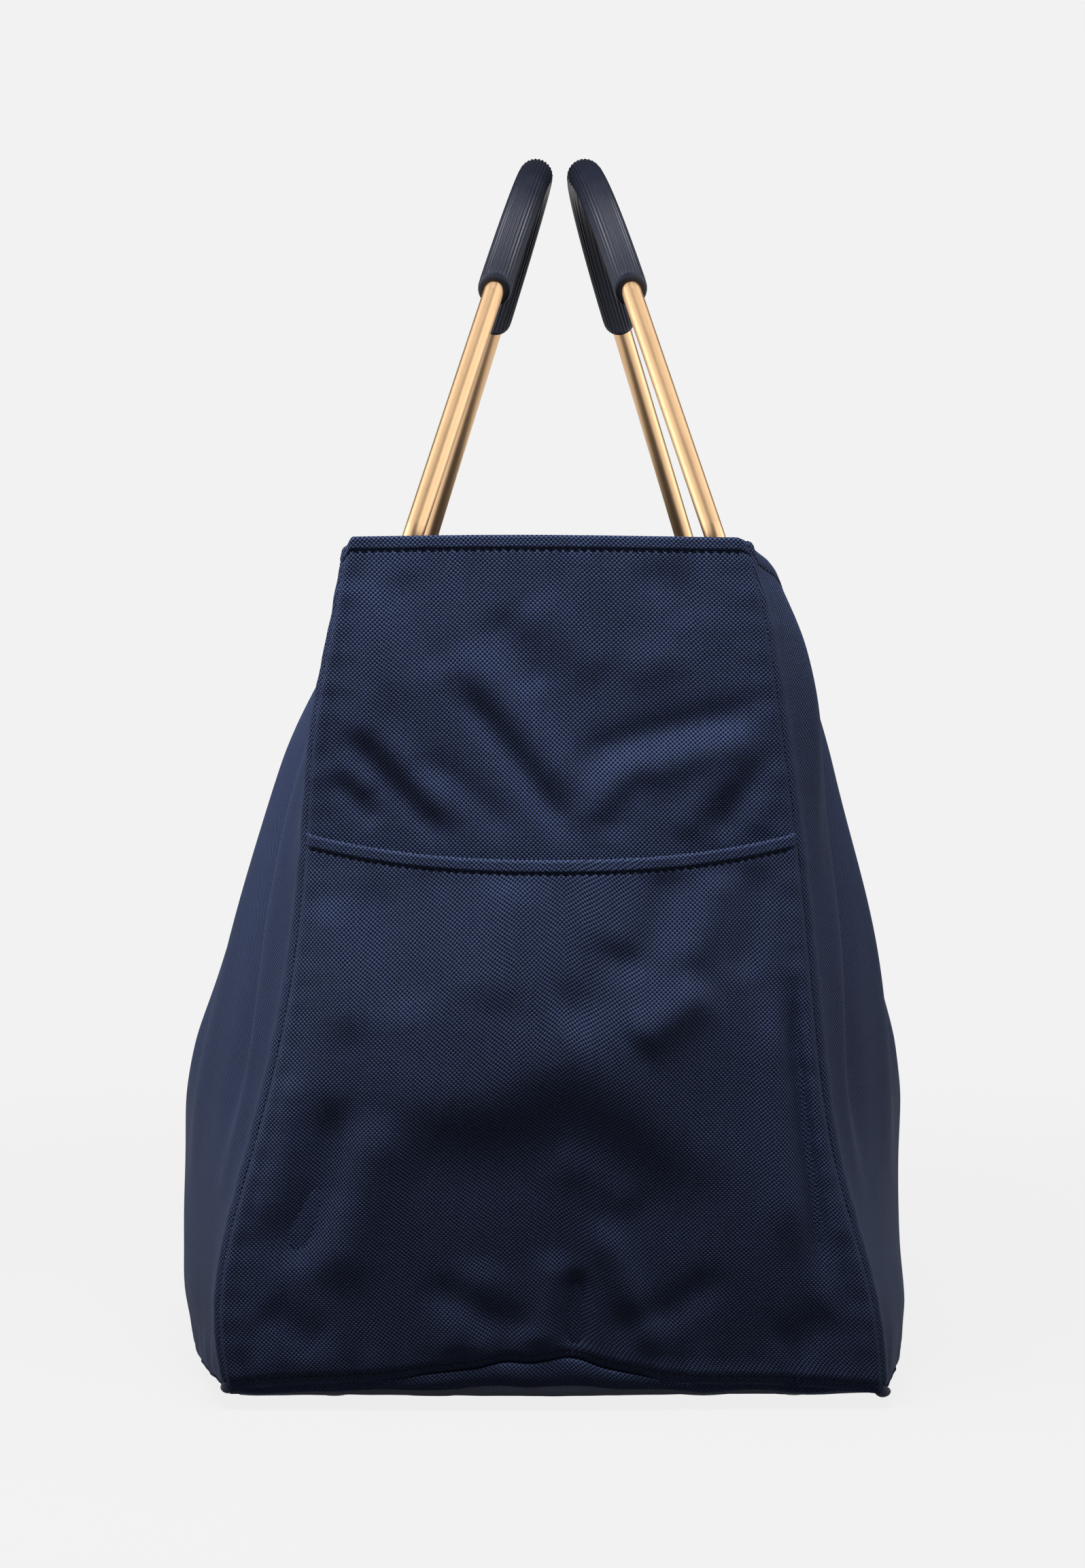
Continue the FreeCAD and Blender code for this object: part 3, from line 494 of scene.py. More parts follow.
def moulded_material(name, colour, roughness, sheen=0.0, grain=900.0, gloss=0.3):
    """Soft moulded plastic or foam: fine grain, a little uneven in its gloss."""
    n = Nodes(name)
    place = n.add("ShaderNodeTexCoord").outputs["Object"]
    fine = n.noise(place, grain, 3.0)
    patch = n.noise(place, 90.0, 3.0)
    lighter = tuple(min(1.0, c * 1.5) for c in colour[:3]) + (1.0,)
    n.shader.inputs["Sheen Weight"].default_value = sheen
    n.shader.inputs["Specular IOR Level"].default_value = gloss
    return n.set(Base_Color=n.mix(patch, colour, lighter),
                 Roughness=n.math("MULTIPLY_ADD", patch, 0.14, roughness - 0.07),
                 Normal=n.bump(fine, 0.25, 0.05 * MM))


NAVY = woven_material("navy_weave", (0.0012, 0.0022, 0.0066, 1), (0.066, 0.090, 0.188, 1))
LINING = coated_material("coated_back", (0.011, 0.014, 0.028, 1))
NUB = moulded_material("navy_nub", (0.006, 0.009, 0.026, 1), 0.8, 0.3, 1300.0)
THREAD = moulded_material("navy_thread", (0.0008, 0.0013, 0.0045, 1), 0.7, 0.0, 4000.0, 0.1)
TAPE = tape_material("binding_tape", (0.005, 0.007, 0.016, 1))
GOLD = metal_material("satin_gold", (0.94, 0.62, 0.35, 1), 0.38)
ALUMINIUM = metal_material("mill_aluminium", (0.74, 0.74, 0.76, 1), 0.38)
STEEL = metal_material("zinc_plate", (0.58, 0.58, 0.60, 1), 0.30)
GRIP = moulded_material("soft_grip", (0.0070, 0.0085, 0.0170, 1), 0.38, 0.0, 1400.0, 0.42)
BOARD = moulded_material("board_plastic", (0.016, 0.017, 0.022, 1), 0.6)
FOOT = moulded_material("foot_plastic", (0.010, 0.012, 0.02, 1), 0.38)

# ---------------------------------------------------------------- walls of the bag

def corner(end, side, z):
    """The distance of a corner seam from the middle plane, and from the middle of the bag's length."""
    return LEVEL["%s_%s" % (end, side)](z), LEVEL["corner_y"](z)


CORNER_DROOP = {"front_left": 3.6, "front_right": 1.6, "rear_left": 2.4, "rear_right": 2.8}


def corner_top(end, side):
    """The height of the rim at a corner, where it droops a little."""
    return RIM_Z - CORNER_DROOP[end + "_" + side] * MM


def end_grid(end, share, z):
    """x across an end panel, the distance to the nearer seam and how deep the cloth sinks into that seam."""
    left, right = corner(end, "left", z)[0], corner(end, "right", z)[0]
    edge = (1 - np.abs(share)) * (left + right) / 2
    sink = SEAM_SINK * bell(edge, SEAM_WIDTH)
    x = (right - left) / 2 + share * (right + left) / 2 - np.sign(share) * sink
    return x, edge, sink


def roll(edge, along, seed):
    """The cloth's rounded turn beside a seam, with small puckers drawn by the stitching."""
    turn = 0.5 * MM * bell(edge - 4.2 * MM, 2.8 * MM)
    return turn + ripples(along, seed, 19, 0.22) * bell(edge - 5 * MM, 8 * MM)


def hem_lift(below, rolled):
    """How far a folded hem stands out, by the distance below its edge: a lip, then a stitched valley."""
    lip = rolled * MM * smooth(0, 1.1 * MM, below) * smooth(HEM, HEM - 1.4 * MM, below)
    return lip - 0.3 * MM * bell(below - HEM, 0.6 * MM)


def hem_thickness(below):
    return CLOTH + 1.1 * MM * smooth(HEM + 0.6 * MM, HEM - 1.0 * MM, below)


def base_seam_z(x, end):
    """The height of the seam along the bottom of an end. It lifts in the middle, and the base shows below."""
    if end == "rear":
        return (9 + 7 * bell(x + 12 * MM, 55 * MM)) * MM
    places = (-138, -100, -64, -52, -36, -23, -14, -2, 7, 14, 27, 38, 46, 80, 130)
    heights = (8.6, 11.2, 14, 16, 18, 20.6, 20, 22.4, 21.4, 18.6, 15.6, 13, 11.8, 10.6, 6.4)
    return curve_through(np.array(places) * MM, np.array(heights) * MM)(x)


def line_below(points, below, depth):
    """The points of a grid's columns that lie a given depth below its top edge."""
    line = []
    for column in range(points.shape[1]):
        row = int(np.argmax(below[:, column] <= depth))
        high, low = below[row - 1, column], below[row, column]
        t = (high - depth) / max(high - low, 1e-9)
        line.append(points[row - 1, column] * (1 - t) + points[row, column] * t)
    return np.array(line)


def end_panel(end):
    """The whole end panel, from the base to the rolled rim, with the folds above the pocket."""
    sign, seed = ENDS[end], 3 if end == "front" else 5
    share, up = np.meshgrid(spread((-1, -0.92, 16), (-0.92, 0.92, 96), (0.92, 1, 16)),
                            spread((0, 0.62, 36), (0.62, 0.975, 70), (0.975, 1, 22)))
    x = end_grid(end, share, PANEL_LOW + up * (RIM_Z - PANEL_LOW))[0]
    droop = np.where(share < 0, RIM_Z - corner_top(end, "left"), RIM_Z - corner_top(end, "right"))
    reach = np.where(share < 0, 0.955, 0.93)
    top = RIM_Z + 0.5 * MM * np.cos((x + 20 * MM) * 30) - droop * smooth(reach, 1.0, np.abs(share))
    z = PANEL_LOW + up * (top - PANEL_LOW)
    x, edge, sink = end_grid(end, share, z)
    below = top - z
    free = smooth(0, 22 * MM, edge) * smooth(2 * MM, 16 * MM, below) * smooth(190 * MM, 226 * MM, z)
    out = LEVEL["corner_y"](z) + LEVEL["end_crown"](z) * (1 - share ** 2) - sink
    out = out + (PANEL_FOLDING * add_folds(x, z, PANEL_FOLDS[end]) + drift(x, z, 7 * seed, 120, 1.0)) * free
    out = out + roll(edge, z, seed) + hem_lift(below, 0.4)
    out = out + ripples(x, 11 * seed, 26, 0.5) * bell(below, 10 * MM) * smooth(0, 12 * MM, edge)
    points = np.stack([x, sign * out, z], 2)
    piece = cloth_piece("end_panel_%s_cloth" % end, points, hem_thickness(below), NAVY, LINING, "bag",
                        flip=sign > 0)
    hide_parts("end_panel_" + end, "rim_hem_" + end)
    stitches("rim_stitches_" + end, line_below(points, below, STITCH_BELOW), (0, sign, 0))


def slip_pocket(end):
    """The pocket's patch, from the base seam to its dipping, hemmed mouth. It gives back its bottom edge."""
    sign, seed = ENDS[end], 23 if end == "front" else 29
    share, up = np.meshgrid(spread((-1, -0.92, 18), (-0.92, 0.92, 112), (0.92, 1, 18)),
                            spread((0, 0.06, 10), (0.06, 0.945, 92), (0.945, 1, 30)))
    mouth = MOUTH_Z - MOUTH_SAG * (1 - np.abs(share) ** 2.4)
    z = POCKET_LOW + up * (mouth - POCKET_LOW)
    for _ in range(3):
        low = base_seam_z(end_grid(end, share, z)[0], end)
        z = low + up * (mouth - low)
    x, edge, sink = end_grid(end, share, z)
    below, lift = mouth - z, z - low
    free = smooth(0, 10 * MM, edge) * smooth(0, 12 * MM, below) * smooth(0, 12 * MM, lift)
    stand = LEVEL["end_crown"](z) + LEVEL["gape"](z)
    out = LEVEL["corner_y"](z) + POCKET_STAND + stand * (1 - np.abs(share) ** 2.2) - sink
    swell = drift(x, z, 3 * seed, 130, 1.1) * smooth(0, 30 * MM, edge)
    out = out + (POCKET_FOLDING * add_folds(x, z, POCKET_FOLDS[end]) + swell) * free
    out = out + roll(edge, z, seed) + hem_lift(below, 0.55)
    out = out + ripples(x, 31 * seed, 30, 0.6) * bell(below, 12 * MM) * smooth(0, 16 * MM, edge)
    out = out - 1.8 * MM * bell(lift, 2.4 * MM) - 0.7 * MM * bell(lift - POCKET_SEAM_LINE, 0.9 * MM)
    out = out + ripples(x, 37 * seed, 24, 0.8) * bell(lift - 6 * MM, 8 * MM) * smooth(0, 14 * MM, edge)
    points = np.stack([x, sign * out, z], 2)
    piece = cloth_piece("slip_pocket_%s_cloth" % end, points, hem_thickness(below), NAVY, LINING, "bag",
                        flip=sign > 0)
    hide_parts("slip_pocket_" + end, "pocket_hem_" + end)
    stitches("mouth_stitches_" + end, line_below(points, below, STITCH_BELOW), (0, sign, 0))
    stitches("base_stitches_" + end, line_below(points, -lift, -POCKET_SEAM_LINE), (0, sign, 0),
             pitch=2.6 * MM, length=1.9 * MM, slant=0.35)
    return points[0]


def side_top(side, y):
    """The top edge of a side panel: the rim at the corners, a dip for the legs, and under the bar between."""
    away = np.abs(y)
    peak = np.where(y < 0, corner_top("front", side), corner_top("rear", side))
    rim = LEVEL["corner_y"](RIM_Z)
    climb = np.clip((away - NOTCH_FAR) / (rim - NOTCH_FAR), 0, 1)
    edge = NOTCH_Z + (peak - NOTCH_Z) * (climb ** 1.25 * (1.6 - 0.6 * climb))
    return edge + (UNDER_BAR_Z - NOTCH_Z) * smooth(NOTCH_NEAR, TUNNEL_HALF - 4 * MM, away)


def side_reach(side, y, z):
    """The distance of a side panel from the middle plane, before its folds."""
    share = np.clip(y / LEVEL["corner_y"](z), -1, 1)
    front, rear = corner("front", side, z)[0], corner("rear", side, z)[0]
    middle = LEVEL["middle_" + side](z)
    crown = middle - (front + rear) / 2
    reach = front + (rear - front) * (share + 1) / 2 + crown * (1 - np.abs(share) ** 2.1)
    slack = LEVEL["slack_" + side](z) * bell(y + 192 * MM, 26 * MM)
    slack = slack + 7 * MM * smooth(285 * MM, 345 * MM, z) * bell(y - 190 * MM, 30 * MM)
    reach = reach + slack * smooth(0, 24 * MM, LEVEL["corner_y"](z) * (1 - np.abs(share)))
    to_bar = smooth(312 * MM, UNDER_BAR_Z, z) * smooth(122 * MM, 100 * MM, np.abs(y))
    return reach + (PIVOT_X + BAR_RADIUS + 0.7 * MM - reach) * to_bar


def side_low(side, y):
    """The bottom edge of a side panel, which lifts a little at the left front corner."""
    lift = 3.0 if side == "left" else 0.4
    return SIDE_LOW + lift * MM * bell(y + 176 * MM, 50 * MM)


def side_panel(side):
    """A broad side wall that bulges low down and is drawn in under the bar. It gives back its bottom edge."""
    sign, seed = SIDES[side], 71 if side == "left" else 73
    share, up = np.meshgrid(spread((-1, -0.955, 18), (-0.955, 0.955, 190), (0.955, 1, 18)),
                            spread((0, 0.06, 12), (0.06, 0.9, 84), (0.9, 1, 34)))
    z = SIDE_LOW + up * (RIM_Z - SIDE_LOW)
    for _ in range(4):
        y = share * LEVEL["corner_y"](z)
        z = side_low(side, y) + up * (side_top(side, y) - side_low(side, y))
    edge = LEVEL["corner_y"](z) * (1 - np.abs(share))
    sink = SEAM_SINK * bell(edge, SEAM_WIDTH)
    y = share * LEVEL["corner_y"](z) - np.sign(share) * sink
    below, lift = side_top(side, y) - z, z - side_low(side, y)
    free = smooth(0, 26 * MM, edge) * smooth(0, 30 * MM, below) * smooth(0, 26 * MM, lift)
    out = side_reach(side, y, z) - sink
    out = out + (SIDE_FOLDING * add_folds(y, z, SIDE_FOLDS) + drift(y, z, seed, 170, 2.0)) * free
    open_edge = smooth(TUNNEL_HALF - 2 * MM, NOTCH_NEAR, np.abs(y))
    out = out + roll(edge, z, seed) + hem_lift(below, 0.4) * open_edge
    waves = ripples(y, 79 * seed, 32, 0.8) * bell(lift - 7 * MM, 10 * MM) * smooth(0, 20 * MM, edge)
    out = out - 2.0 * MM * bell(lift, 3 * MM) + waves
    points = np.stack([sign * out, y, z], 2)
    thick = CLOTH + (hem_thickness(below) - CLOTH) * open_edge
    piece = cloth_piece("side_panel_%s_cloth" % side, points, thick, NAVY, LINING, "bag", flip=sign < 0)
    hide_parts("side_panel_" + side)
    hem = line_below(points, below, STITCH_BELOW)
    for name, part in (("front", hem[hem[:, 1] < -NOTCH_NEAR]), ("rear", hem[hem[:, 1] > NOTCH_NEAR])):
        stitches("edge_stitches_%s_%s" % (name, side), part, (sign, 0, 0))
    return points[0]


def bar_tunnel(side):
    """The side panel's upper edge, carried round the handle's bar and sewn down on itself below it."""
    sign, tail = SIDES[side], 13 * MM
    sleeve = BAR_RADIUS + 1.15 * MM
    inner = TUNNEL_HALF - 6 * MM
    y = spread((-TUNNEL_HALF, -inner, 6), (-inner, inner, 110), (inner, TUNNEL_HALF, 6))
    turns = np.linspace(math.radians(-30), math.radians(210), 26)
    outer_tail = [(sleeve + 6.2 * MM, -tail), (sleeve + 3.4 * MM, -tail * 0.72),
                  (sleeve + 1.2 * MM, -tail * 0.48)]
    inner_tail = [(-sleeve + 5.4 * MM, -tail * 0.48), (-sleeve + 9.2 * MM, -tail * 0.72),
                  (-sleeve + 13.2 * MM, -tail)]
    loop = [(sleeve * math.cos(a), sleeve * math.sin(a)) for a in turns]
    profile = np.array(outer_tail + loop + inner_tail)
    offset = profile[:, 0][:, None] + ripples(y, 83, 28, 0.25)[None, :]
    height = profile[:, 1][:, None] + ripples(y, 89, 40, 0.25)[None, :]
    points = np.stack([sign * (PIVOT_X + offset), np.broadcast_to(y, offset.shape), PIVOT_Z + height], 2)
    piece = cloth_piece("handle_tunnel_%s_cloth" % side, points, CLOTH, NAVY, LINING, "bag", flip=sign < 0)
    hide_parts("handle_tunnel_" + side)
    stitches("tunnel_stitches_" + side, points[1], (sign, 0, 0.3))


def patch(front, rear, left, right, columns, rows):
    """A sheet stretched between four edges (a Coons patch). Edges run left to right and front to rear."""
    def along(edge, shares):
        steps = np.concatenate([[0], np.cumsum(np.linalg.norm(np.diff(edge, axis=0), axis=1))])
        return np.stack([np.interp(shares, steps / steps[-1], edge[:, k]) for k in range(3)], 1)

    u, v = columns[None, :, None], rows[:, None, None]
    front, rear = along(front, columns), along(rear, columns)
    left, right = along(left, rows), along(right, rows)
    corners = [(front[0] + left[0]) / 2, (front[-1] + right[0]) / 2,
               (rear[0] + left[-1]) / 2, (rear[-1] + right[-1]) / 2]
    across = front[None] * (1 - v) + rear[None] * v
    lengthwise = left[:, None] * (1 - u) + right[:, None] * u
    plane = ((corners[0] * (1 - u) + corners[1] * u) * (1 - v)
             + (corners[2] * (1 - u) + corners[3] * u) * v)
    return across + lengthwise - plane


def base_cloth(front, rear, left, right):
    """The base's fabric: flat under the board, and curled up at its edge to the seams of the four walls."""
    near = np.array((0, 0.4, 1, 2, 3.4, 5.4, 8, 12)) * MM
    length, width = 356 * MM, 284 * MM

    def shares(size, steps):
        """Shares of a size, close together near both of its ends."""
        between = np.linspace(near[-1], size - near[-1], steps)[1:-1]
        return np.concatenate([near / size, between / size, 1 - near[::-1] / size])

    rows, columns = shares(length, 62), shares(width, 72)
    grid = patch(front, rear, left, right, columns, rows)
    u, v = np.meshgrid(columns, rows)
    inward = np.minimum(np.minimum(u, 1 - u) * width, np.minimum(v, 1 - v) * length)
    climb = np.interp(inward, near, (1, 0.9, 0.7, 0.46, 0.28, 0.13, 0.04, 0))
    floor_z = 4.9 * MM
    sag = ripples(grid[..., 0], 97, 60, 1.0) * bell(inward - 5 * MM, 6 * MM)
    sag = sag + 1.0 * MM * bell(inward - 4 * MM, 4 * MM)
    grid[..., 2] = floor_z + (grid[..., 2] - floor_z) * climb + np.maximum(sag, 0) * smooth(0, 2 * MM, inward)
    swell = 1.6 * MM * bell(inward - 0.8 * MM, 1.2 * MM) * smooth(10 * MM, 18 * MM, grid[0, :, 2])[None, :]
    grid[..., 1] -= np.where(v < 0.5, swell, 0)
    piece = cloth_piece("base_cloth", grid, CLOTH, NAVY, LINING, "bag", flip=True)
    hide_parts("base_panel")
    return grid


def tape_sweep(name, path, across, outward, width, thickness):
    """A folded tape along a path. Its section has a round free edge, and `outward` is across its faces."""
    turns = np.linspace(-math.pi / 2, math.pi / 2, 7)
    half = thickness / 2
    section = [(0, half), (0, -half)]
    section += [(width - half + half * math.cos(a), half * math.sin(a)) for a in turns]
    vertices, faces, count = [], [], len(section)
    for place, side, out in zip(path, across, outward):
        for w, h in section:
            vertices.append(place + side * w + out * h)
    for ring in range(len(path) - 1):
        for k in range(count):
            a, b = ring * count + k, ring * count + (k + 1) % count
            faces.append((a, b, b + count, a + count))
    faces.append(tuple(range(count))[::-1])
    faces.append(tuple(range(len(vertices) - count, len(vertices))))
    return plain_piece(name, vertices, faces, TAPE, "bag")


def seam_tape(end, side):
    """The bound seam allowance inside an upright corner, lying against the end panel."""
    sign_x, sign_y = SIDES[side], ENDS[end]
    z = np.linspace(12 * MM, corner_top(end, side) - 4 * MM, 70)
    x, y = corner(end, side, z)
    wave = ripples(z, 101 + sign_x * 3 + sign_y, 34, 0.35)
    path = np.stack([sign_x * (x - 2.4 * MM), sign_y * (y - 3.0 * MM + wave * 0.4), z], 1)
    across = np.tile((-float(sign_x), 0.0, 0.0), (len(z), 1))
    outward = np.tile((0.0, -float(sign_y), 0.0), (len(z), 1))
    piece = tape_sweep("seam_tape_%s_%s" % (end, side), path, across, outward, TAPE_WIDTH, TAPE_THICKNESS)
    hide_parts("seam_binding_%s_%s" % (end, side))


def base_tape(grid):
    """The bound seam allowance round the inside of the base, standing beside the board."""
    rows, columns = grid.shape[:2]
    inset = 4
    last_row, last_column = rows - 1 - inset, columns - 1 - inset
    loop = [grid[inset, j] for j in range(inset, last_column + 1)]
    loop += [grid[i, last_column] for i in range(inset, last_row + 1)]
    loop += [grid[last_row, j] for j in range(last_column, inset, -1)]
    loop += [grid[i, inset] for i in range(last_row, inset, -1)]
    loop = np.array(loop)
    vertices, faces = [], []
    section = [(-0.8, 0.0), (-0.8, 4.0), (-0.3, 4.7), (0.3, 4.7), (0.8, 4.0), (0.8, 0.0)]
    lengths = np.concatenate([[0], np.cumsum(np.linalg.norm(np.diff(loop, axis=0), axis=1))])
    wave = ripples(lengths, 107, 38, 0.5)
    for point, shift in zip(loop, wave):
        inward = -point
        inward[2] = 0
        inward /= np.linalg.norm(inward)
        for w, h in section:
            seat = np.array((point[0], point[1], TAPE_FOOT_Z))
            vertices.append(seat + inward * (w * MM + 0.6 * MM + shift * 0.4) + np.array((0, 0, h * MM)))
    count, total = len(section), len(loop)
    for ring in range(total):
        for j in range(count):
            a, b = ring * count + j, ring * count + (j + 1) % count
            c, d = ((ring + 1) % total) * count + (j + 1) % count, ((ring + 1) % total) * count + j
            faces.append((a, b, c, d))
    piece = plain_piece("base_tape", vertices, faces, TAPE, "bag")
    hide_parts("base_binding")


NUB_WIDE, NUB_DEEP, NUB_TALL = 3.2 * MM, 2.0 * MM, 2.4 * MM


def corner_nub(end, side, place):
    """The small folded end of the seams where three panels meet at a bottom corner."""
    rings, around = 9, 14
    dice = random.Random(109 + 2 * ENDS[end] + SIDES[side])
    vertices, faces = [], []
    for i in range(1, rings):
        tilt = math.pi * i / rings
        for j in range(around):
            turn = 2 * math.pi * j / around
            stretch = 1 + 0.10 * math.sin(3 * turn + dice.uniform(0, 0.4)) + 0.05 * math.cos(5 * turn)
            vertices.append((place[0] + NUB_WIDE * stretch * math.sin(tilt) * math.cos(turn),
                             place[1] + NUB_DEEP * stretch * math.sin(tilt) * math.sin(turn),
                             place[2] + NUB_TALL * math.cos(tilt)))
    top, bottom = len(vertices), len(vertices) + 1
    vertices += [(place[0], place[1], place[2] + NUB_TALL), (place[0], place[1], place[2] - NUB_TALL)]
    for i in range(rings - 2):
        for j in range(around):
            a, b = i * around + j, i * around + (j + 1) % around
            faces.append((a, a + around, b + around, b))
    last = (rings - 2) * around
    for j in range(around):
        faces.append((top, j, (j + 1) % around))
        faces.append((bottom, last + (j + 1) % around, last + j))
    plain_piece("corner_nub_%s_%s" % (end, side), vertices, faces, NUB, "bag")


bottom = {}
for end in ENDS:
    end_panel(end)
    bottom[end] = slip_pocket(end)
for side in SIDES:
    bottom[side] = side_panel(side)
    bar_tunnel(side)
base_tape(base_cloth(bottom["front"], bottom["rear"], bottom["left"], bottom["right"]))
for end in ENDS:
    for side in SIDES:
        seam_tape(end, side)
        tip = bottom[end][0 if side == "left" else -1]
        corner_nub(end, side, tip + np.array((0, -ENDS[end] * 1.2 * MM, 0.4 * MM)))

# ---------------------------------------------------------------- handles

ARCH_RADIUS, ARCH_CENTRE, TAPER, LEAN = 90 * MM, 95.2 * MM, math.radians(18.6), math.radians(17.8)
GRIP_RADIUS, GRIP_BORE, GRIP_SLANT = 7.4 * MM, 4.38 * MM, math.tan(math.radians(32))
RIBS, RIB_DEPTH = 28, 0.62 * MM


def grip(side):
    """The soft sleeve over the arch: fine lengthwise ribs from end to end, and ends cut at a slant."""
    sign = SIDES[side]
    along, up = Vector((0, 1, 0)), Vector((-sign * math.sin(LEAN), 0, math.cos(LEAN)))
    cross = along.cross(up)
    pivot = Vector((sign * PIVOT_X, 0, PIVOT_Z))
    span = ARCH_RADIUS * (math.pi - 2 * TAPER)
    ends = np.array((0, 0.15, 0.5, 1.0, 1.5, 2.2, 3.2, 5.0, 7.5)) * MM
    stops = np.concatenate([ends, np.linspace(ends[-1], span - ends[-1], 96)[1:-1], span - ends[::-1]])
    around = RIBS * 6
    turns = np.arange(around) * 2 * math.pi / around
    rib = (0.5 + 0.5 * np.cos(turns * RIBS)) ** 1.6
    rounded, slanted = 1.5 * MM, 26 * MM
    rings = []
    for stop in stops:
        from_end = min(stop, span - stop)
        rounding = rounded - math.sqrt(max(0.0, rounded ** 2 - max(0.0, rounded - from_end) ** 2))
        ribbed = smooth(0.6 * MM, 3.2 * MM, from_end)
        cut = RIB_DEPTH * (rib * ribbed + 0.3 * (1 - ribbed))
        rings.append((stop, GRIP_RADIUS - 0.1 * MM - rounding - cut))
    rings += [(stop, np.full(around, GRIP_BORE)) for stop in np.linspace(span, 0, 9)]
    vertices = []
    for stop, radii in rings:
        for turn, radius in zip(turns, radii):
            # the outer side stops short of the arch's end, and the inner side runs on along the straight leg
            out = radius * math.cos(turn)
            lean = max(0.0, 1 - stop / slanted) - max(0.0, 1 - (span - stop) / slanted)
            place = stop + GRIP_SLANT * out * lean
            angle = TAPER + min(max(place, 0.0), span) / ARCH_RADIUS
            radial = along * math.cos(angle) + up * math.sin(angle)
            onward = up * math.cos(angle) - along * math.sin(angle)
            beyond = min(place, 0.0) + max(place - span, 0.0)
            centre = pivot + up * ARCH_CENTRE + radial * ARCH_RADIUS + onward * beyond
            vertices.append(centre + radial * out + cross * (radius * math.sin(turn)))
    faces, total = [], len(rings)
    for ring in range(total):
        following = (ring + 1) % total
        for j in range(around):
            k = (j + 1) % around
            faces.append((ring * around + j, ring * around + k,
                          following * around + k, following * around + j))
    piece = plain_piece("grip_%s_ribbed" % side, vertices, faces, GRIP, "handle_" + side)
    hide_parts("handle_grip_" + side)


for side in SIDES:
    grip(side)

PLAIN = {"base_board": BOARD, "base_feet": FOOT, "foot_washers": STEEL, "foot_rivets": STEEL,
         "handle_tube": GOLD, "tube_joiner": ALUMINIUM}
for name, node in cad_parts.items():
    for start, material in PLAIN.items():
        if name.startswith(start):
            node.data.materials.clear()
            node.data.materials.append(material)

# ---------------------------------------------------------------- stage, light and camera

def stage_piece(name, vertices, faces, material):
    mesh = bpy.data.meshes.new(name)
    mesh.from_pydata(vertices, [], faces)
    mesh.materials.append(material)
    piece = bpy.data.objects.new(name, mesh)
    bpy.context.scene.collection.objects.link(piece)
    return piece


DOME, PALE, FLOOR_GLOW, FLOOR_GREY = 7.0, 0.888, 0.835, 0.04


def backdrop():
    """A pale floor that brightens evenly away from the bag, and a plain pale dome round everything."""
    n = Nodes("pale_floor")
    place = n.add("ShaderNodeTexCoord").outputs["Object"]
    distance = n.add("ShaderNodeVectorMath", {0: place}, operation="LENGTH").outputs["Value"]
    far = n.add("ShaderNodeMapRange", {0: distance, 1: 0.35, 2: 1.3, 3: 0.0, 4: 1.0},
                interpolation_type="SMOOTHSTEP")
    glow = n.math("MULTIPLY_ADD", far.outputs[0], PALE - FLOOR_GLOW, FLOOR_GLOW)
    grey = n.math("MULTIPLY_ADD", far.outputs[0], -FLOOR_GREY, FLOOR_GREY)
    colour = n.add("ShaderNodeCombineColor", {0: grey, 1: grey, 2: grey}).outputs[0]
    n.set(Base_Color=colour, Roughness=0.9, Emission_Color=(1, 1, 1, 1), Emission_Strength=glow)
    n.shader.inputs["Specular IOR Level"].default_value = 0.0
    rings, around = 48, 96
    turns = [2 * math.pi * j / around for j in range(around)]
    vertices = [(0, 0, 0)]
    vertices += [(DOME * (i / rings) ** 2 * math.cos(turn), DOME * (i / rings) ** 2 * math.sin(turn), 0)
                 for i in range(1, rings + 1) for turn in turns]
    faces = [(0, 1 + j, 1 + (j + 1) % around) for j in range(around)]
    faces += [(1 + i * around + j, 1 + (i + 1) * around + j, 1 + (i + 1) * around + (j + 1) % around,
               1 + i * around + (j + 1) % around) for i in range(rings - 1) for j in range(around)]
    floor = stage_piece("floor", vertices, faces, n.material)

    m = Nodes("pale_dome")
    m.set(Base_Color=(0, 0, 0, 1), Emission_Color=(1, 1, 1, 1), Emission_Strength=PALE)
    m.shader.inputs["Specular IOR Level"].default_value = 0.0
    tilts = np.linspace(-0.06, math.pi / 2 - 0.02, 20)
    vertices = [(DOME * math.cos(t) * math.cos(turn), DOME * math.cos(t) * math.sin(turn), DOME * math.sin(t))
                for t in tilts for turn in turns]
    faces = [(i * around + j, i * around + (j + 1) % around,
              (i + 1) * around + (j + 1) % around, (i + 1) * around + j)
             for i in range(len(tilts) - 1) for j in range(around)]
    faces.append(tuple((len(tilts) - 1) * around + j for j in range(around)))
    dome = stage_piece("dome", vertices, faces, m.material)
    dome.visible_diffuse = dome.visible_glossy = dome.visible_shadow = dome.visible_transmission = False
    floor.visible_diffuse = False


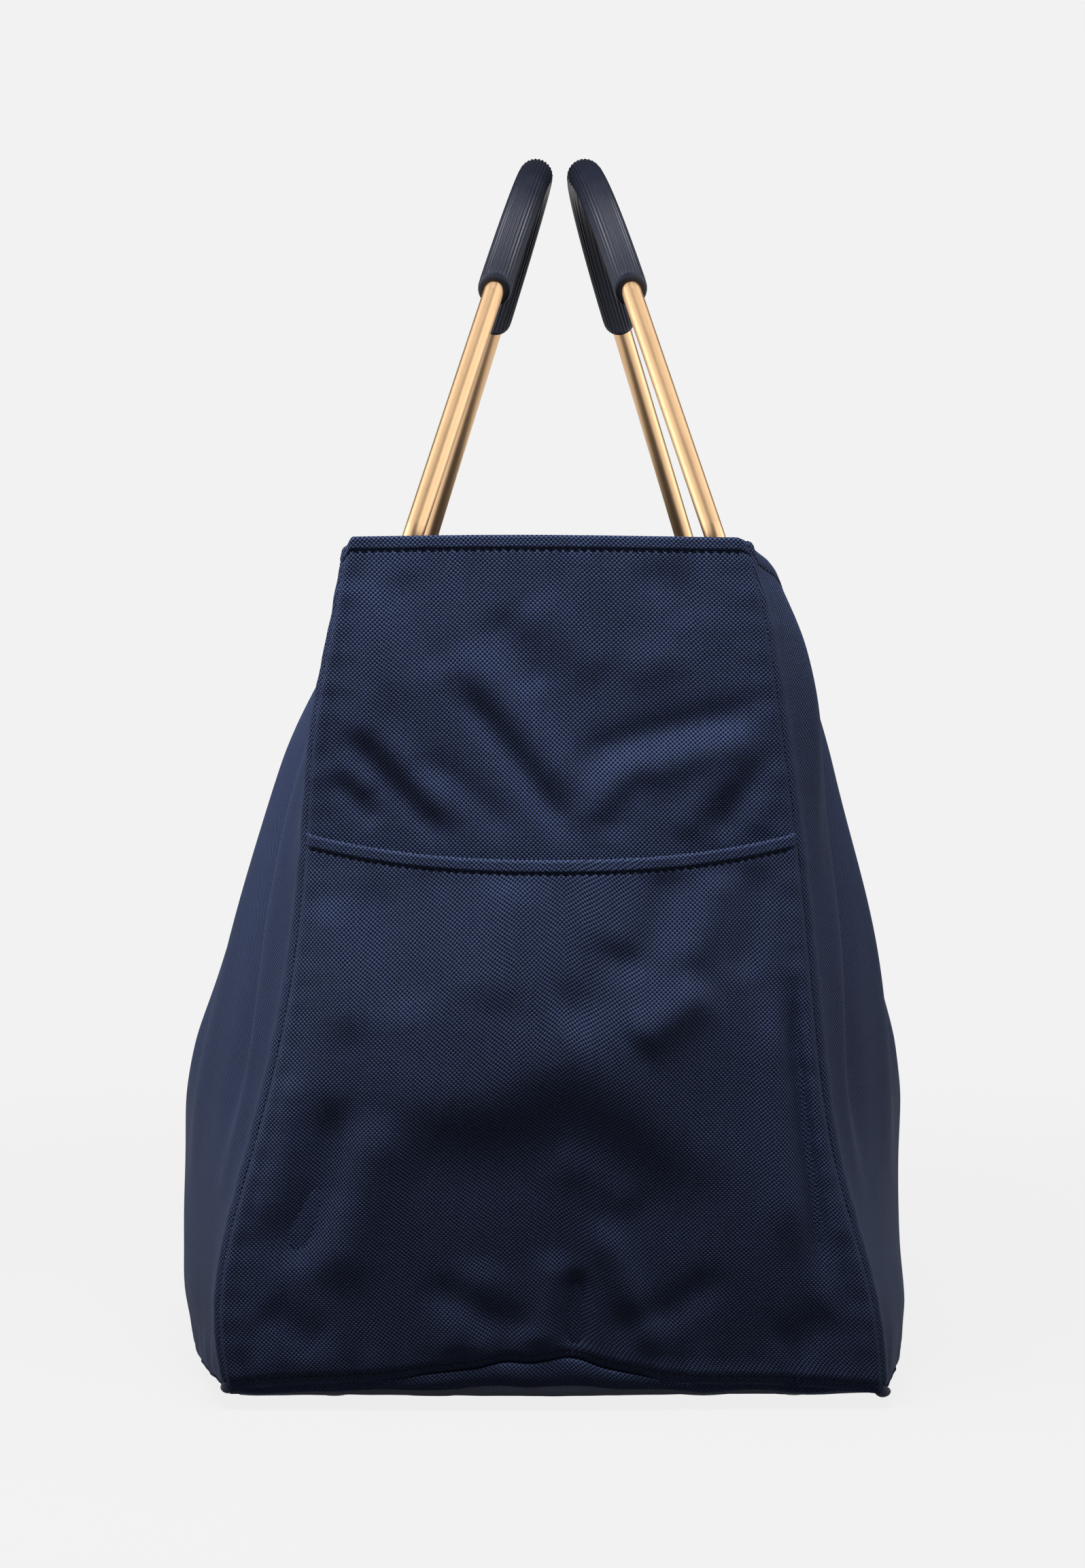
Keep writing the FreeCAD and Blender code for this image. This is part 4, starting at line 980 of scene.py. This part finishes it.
def softbox(name, place, target, size, power, diffuse=True, glossy=True):
    """An area light that the camera doesn't see, for diffuse light, for reflections, or for both."""
    light = bpy.data.lights.new(name, "AREA")
    light.shape = "RECTANGLE"
    light.size, light.size_y = size
    light.energy = power
    lamp = bpy.data.objects.new(name, light)
    lamp.location = place
    lamp.rotation_euler = (Vector(target) - Vector(place)).to_track_quat("-Z", "Y").to_euler()
    lamp.visible_camera = False
    lamp.visible_diffuse, lamp.visible_glossy = diffuse, glossy
    bpy.context.scene.collection.objects.link(lamp)


backdrop()
middle = (0, 0, 0.25)
softbox("left_box", (-1.8, -0.05, 0.75), middle, (0.7, 1.5), 8.8)
softbox("right_box", (1.25, -1.5, 1.1), middle, (0.25, 1.3), 1.6)
softbox("right_side_box", (1.8, 0.1, 0.8), middle, (0.8, 1.4), 4.4)
softbox("top_box", (-0.1, -0.54, 0.9), (0, -0.2, 0.26), (0.6, 0.3), 11.5, glossy=False)
softbox("high_glow", (0.0, -0.5, 2.5), middle, (0.8, 1.4), 34, diffuse=False)
softbox("left_glow", (-2.5, -1.2, 0.9), (0, -0.6, 0.3), (5.5, 5.0), 92, diffuse=False)
softbox("right_glow", (2.5, -1.2, 0.9), (0, -0.6, 0.3), (5.5, 5.0), 92, diffuse=False)
softbox("back_box", (0.0, 2.2, 1.4), middle, (1.8, 1.2), 30, glossy=False)
world = bpy.data.worlds.new("studio")
bpy.context.scene.world = world
world.use_nodes = True
world.node_tree.nodes["Background"].inputs[0].default_value = (0.93, 0.96, 1.0, 1)
world.node_tree.nodes["Background"].inputs[1].default_value = 0.035
bpy.context.scene.view_settings.view_transform = "Standard"

CAMERA_PLACE, CAMERA_LENS = (-0.025, -1.8, 0.310), 92.5
TILTED_DOWN, TURNED_RIGHT = math.radians(1.97), math.radians(0.55)
camera_data = bpy.data.cameras.new("camera")
camera_data.lens = CAMERA_LENS
camera_data.sensor_width = 36.0
camera = bpy.data.objects.new("camera", camera_data)
camera.location = CAMERA_PLACE
camera.rotation_euler = (math.pi / 2 - TILTED_DOWN, 0, -TURNED_RIGHT)
bpy.context.scene.collection.objects.link(camera)
bpy.context.scene.camera = camera
